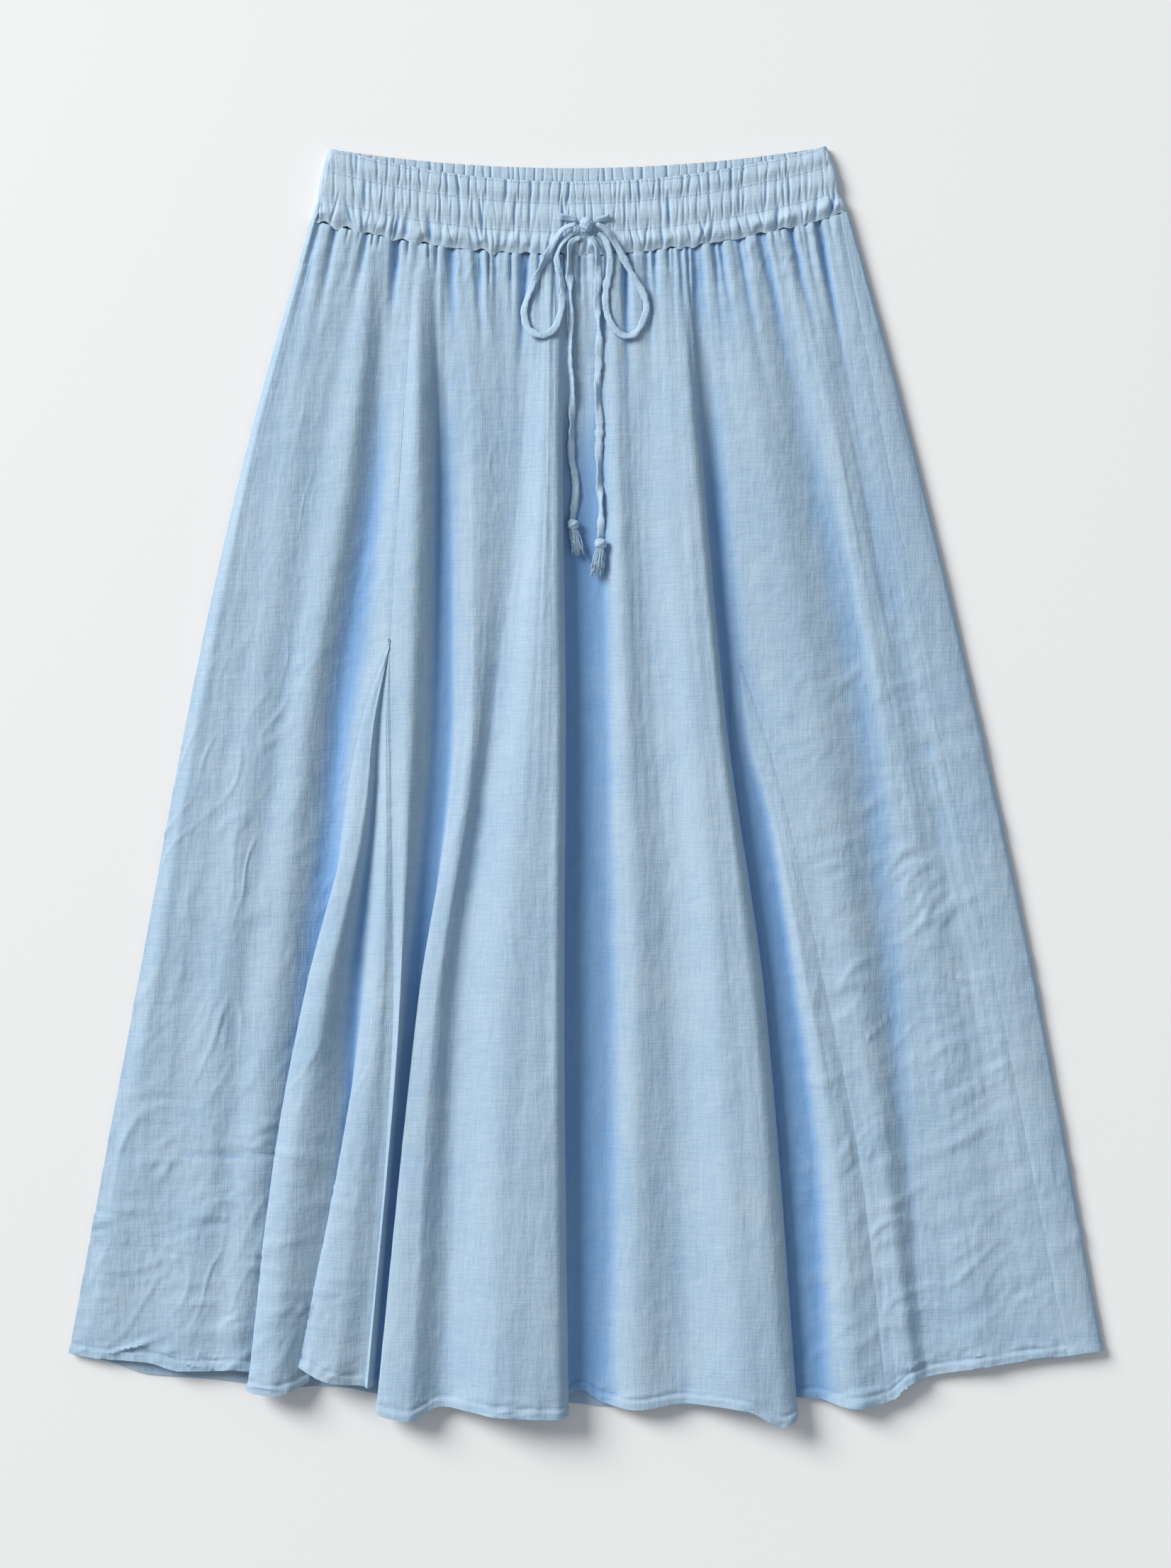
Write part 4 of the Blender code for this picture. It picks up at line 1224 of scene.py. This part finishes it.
WEAVE = 240.0
print("threads lie about %.1f mm apart" % (2 * math.pi / 20 / WEAVE / MM))

# %% [markdown]
# ## Colour and relief
#
# The colour lies between two blues that are close together, because only slubs and
# clouds tell them apart. The relief could be modelled for the coarse part, but it is
# finer than the sheets' rows, so all of it is a bump.

# %% Colour and relief of the gauze
# The fold blue is painted shade, mixed into the colour as much as the depth attribute says.
PAINTED_FOLD_SHADE = (0.150, 0.335, 0.640, 1.0)
PAINTED_SHADE_SHARE = 0.85


def gauze_colour(tree, tone, colour, shade):
    """Slubs and clouds between two blues, and a deeper blue painted low in the folds as shade."""
    ramp = tree.nodes.new("ShaderNodeValToRGB")
    ramp.color_ramp.elements[0].position = 0.40
    ramp.color_ramp.elements[0].color = shade
    ramp.color_ramp.elements[1].position = 0.88
    ramp.color_ramp.elements[1].color = colour
    tree.links.new(tone, ramp.inputs["Fac"])
    # Painted shade: the deeper blue is mixed in by the depth attribute.
    low = tree.nodes.new("ShaderNodeAttribute")
    low.attribute_name = "depth"
    painted_shade_mix = tree.nodes.new("ShaderNodeMix")
    painted_shade_mix.data_type = "RGBA"
    painted_shade_mix.inputs["B"].default_value = PAINTED_FOLD_SHADE
    tree.links.new(join(tree, "MULTIPLY", low.outputs["Fac"], PAINTED_SHADE_SHARE), painted_shade_mix.inputs["Factor"])
    tree.links.new(ramp.outputs["Color"], painted_shade_mix.inputs["A"])
    return painted_shade_mix.outputs["Result"]


def gauze_relief(tree, slubs, weave, bump):
    """Weave, slubs and two sizes of crinkle, as a bump."""
    crinkle = streaks(tree, 220.0, 4.0, (1.0, 1.6, 1.0))
    creased_down = streaks(tree, 80.0, 3.0, (3.6, 0.7, 3.6))
    woven = join(tree, "ADD", threads_along(tree, "X", weave), threads_along(tree, "Y", weave))
    fine = join(tree, "ADD", join(tree, "MULTIPLY", woven, 0.12),
                join(tree, "MULTIPLY", slubs, 0.45))
    coarse = join(tree, "ADD", join(tree, "MULTIPLY", crinkle, 0.8),
                  join(tree, "MULTIPLY", creased_down, 1.4))
    relief = tree.nodes.new("ShaderNodeBump")
    relief.inputs["Strength"].default_value = bump
    relief.inputs["Distance"].default_value = 0.9 * MM
    tree.links.new(join(tree, "ADD", fine, coarse), relief.inputs["Height"])
    return relief.outputs["Normal"]


def gauze(name, colour, shade, weave=WEAVE, bump=0.40):
    material = bpy.data.materials.new(name)
    material.use_nodes = True
    tree = material.node_tree
    shader = tree.nodes["Principled BSDF"]
    shader.inputs["Roughness"].default_value = 0.9
    shader.inputs["Sheen Weight"].default_value = 0.4
    shader.inputs["Sheen Tint"].default_value = (0.30, 0.60, 1.0, 1.0)
    shader.inputs["Sheen Roughness"].default_value = 0.5
    shader.inputs["Specular IOR Level"].default_value = 0.15
    place = tree.nodes.new("ShaderNodeTexCoord")
    place.name = "Texture Coordinate"
    slubs = join(tree, "ADD", streaks(tree, 60.0, 3.0, (14.0, 1.0, 14.0)),
                 streaks(tree, 60.0, 3.0, (1.0, 14.0, 1.0)))
    clouds = streaks(tree, 18.0, 4.0, (1.0, 1.0, 1.0))
    tone = join(tree, "ADD", join(tree, "MULTIPLY", slubs, 0.5),
                join(tree, "MULTIPLY", clouds, 0.5))
    tree.links.new(gauze_colour(tree, tone, colour, shade), shader.inputs["Base Color"])
    tree.links.new(gauze_relief(tree, slubs, weave, bump), shader.inputs["Normal"])
    return material


# The fold blue is painted shade.
print("the deepest folds take %.0f%% of the fold blue" % (100 * PAINTED_SHADE_SHARE))

# %% [markdown]
# ## Three gauzes
#
# All is one cloth on the real skirt, and one material would do. But the band is folded
# double, so no table shows through it and it looks paler. The cord is turned inside out
# and pressed, so its weave is closer and its relief stronger. So there are three.

# %% Dress every piece in its gauze
PALE_BLUE = (0.405, 0.525, 0.635, 1.0)
DEEPER_BLUE = (0.27, 0.42, 0.575, 1.0)
CORD_BLUE = (0.43, 0.58, 0.72, 1.0)
BAND_BLUE = (0.47, 0.60, 0.715, 1.0)
cloth_gauze = gauze("blue_gauze", PALE_BLUE, DEEPER_BLUE)
band_gauze = gauze("double_gauze", BAND_BLUE, PALE_BLUE)
cord_gauze = gauze("turned_gauze", CORD_BLUE, PALE_BLUE, weave=300.0, bump=0.6)
dressed = []
for piece in bpy.context.scene.objects:
    if piece.name in ("cloth_waistband", "band_stitches"):
        material = band_gauze
    elif piece.name.startswith("cloth_"):
        material = cloth_gauze
    elif piece.name.startswith("gauze_"):
        material = cord_gauze
    else:
        continue
    piece.data.materials.clear()
    piece.data.materials.append(material)
    dressed.append(piece.name)
print("dressed in gauze:", ", ".join(sorted(dressed)))

# %% [markdown]
# ## Which hard nodes the sheets stand for, and what was cut
#
# Each sheet replaces the plain solid of the same panel. The list also gives the size
# of the cloth each was cut from.

SHEETS = [
    (front_left, "front_left_panel", (0.25, 0.83)),
    (front_centre, "front_centre_panel", (0.42, 0.85)),
    (front_right, "front_right_panel", (0.26, 0.83)),
    (godet_left, "godet_left", (0.18, 0.54)),
    (godet_right, "godet_right", (0.11, 0.53)),
    (back, "back_panel", (0.78, 0.84)),
    (waistband, "waistband", (0.86, 0.06)),
]
for piece, node, flat in SHEETS:
    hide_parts(node)

# The two short ends out of the buttonholes are shorter than a cord may be declared,
# so each goes with the loop beside it, and the tied ends go with their tails.
GOES_WITH = {
    "cord_loop_left": [cords["cord_exit_left"][0], bow_knot],
    "cord_loop_right": [cords["cord_exit_right"][0]],
    "cord_tail_left": [tied_ends["tassel_left"]],
    "cord_tail_right": [tied_ends["tassel_right"]],
}
for name, others in GOES_WITH.items():
    piece, points, length = cords[name]
    tuple(points[0])
    [tuple(point) for point in points]
    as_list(others)
print("declared %d sheets and %d cords" % (len(SHEETS), len(GOES_WITH)))

# %% [markdown]
# ## The table and the light
#
# The skirt lies on a near-white surface under a big soft light from the upper left.
# A second weak light fills the other side, so that folds shade but never go black.

# %% Light the table
FLOOR_SIZE = 40.0


def plain_material(name, colour, roughness):
    material = bpy.data.materials.new(name)
    material.use_nodes = True
    shader = material.node_tree.nodes["Principled BSDF"]
    shader.inputs["Base Color"].default_value = colour
    shader.inputs["Roughness"].default_value = roughness
    shader.inputs["Specular IOR Level"].default_value = 0.1
    return material


floor_form = bmesh.new()
bmesh.ops.create_grid(floor_form, x_segments=1, y_segments=1, size=FLOOR_SIZE / 2)
floor_mesh = bpy.data.meshes.new("table")
floor_form.to_mesh(floor_mesh)
floor_form.free()
table = bpy.data.objects.new("table", floor_mesh)
table.location.z = -0.2 * MM
table.data.materials.append(plain_material("white_table", (0.86, 0.86, 0.855, 1.0), 0.9))
bpy.context.scene.collection.objects.link(table)


def soft_light(name, place, size, power, colour=(1.0, 1.0, 1.0)):
    data = bpy.data.lights.new(name, "AREA")
    data.shape = "DISK"
    data.size = size
    data.energy = power
    data.color = colour
    light = bpy.data.objects.new(name, data)
    light.location = place
    light.rotation_euler = (-Vector(place)).to_track_quat("-Z", "Y").to_euler()
    bpy.context.scene.collection.objects.link(light)
    return light


soft_light("window", (-2.3, 1.6, 1.7), 1.7, 32.0)
soft_light("fill", (1.6, -1.4, 2.6), 2.2, 5.0)
sky_data = bpy.data.lights.new("broad_window", "SUN")
sky_data.energy = 3.02
sky_data.color = (1.0, 0.968, 0.94)
sky_data.angle = math.radians(28.0)
sky = bpy.data.objects.new("broad_window", sky_data)
sky.rotation_euler = Vector((1.0, -0.75, -0.74)).to_track_quat("-Z", "Y").to_euler()
bpy.context.scene.collection.objects.link(sky)
world = bpy.data.worlds.new("room")
world.use_nodes = True
world.node_tree.nodes["Background"].inputs["Color"].default_value = (0.85, 0.925, 1.0, 1.0)
world.node_tree.nodes["Background"].inputs["Strength"].default_value = 0.34
bpy.context.scene.world = world
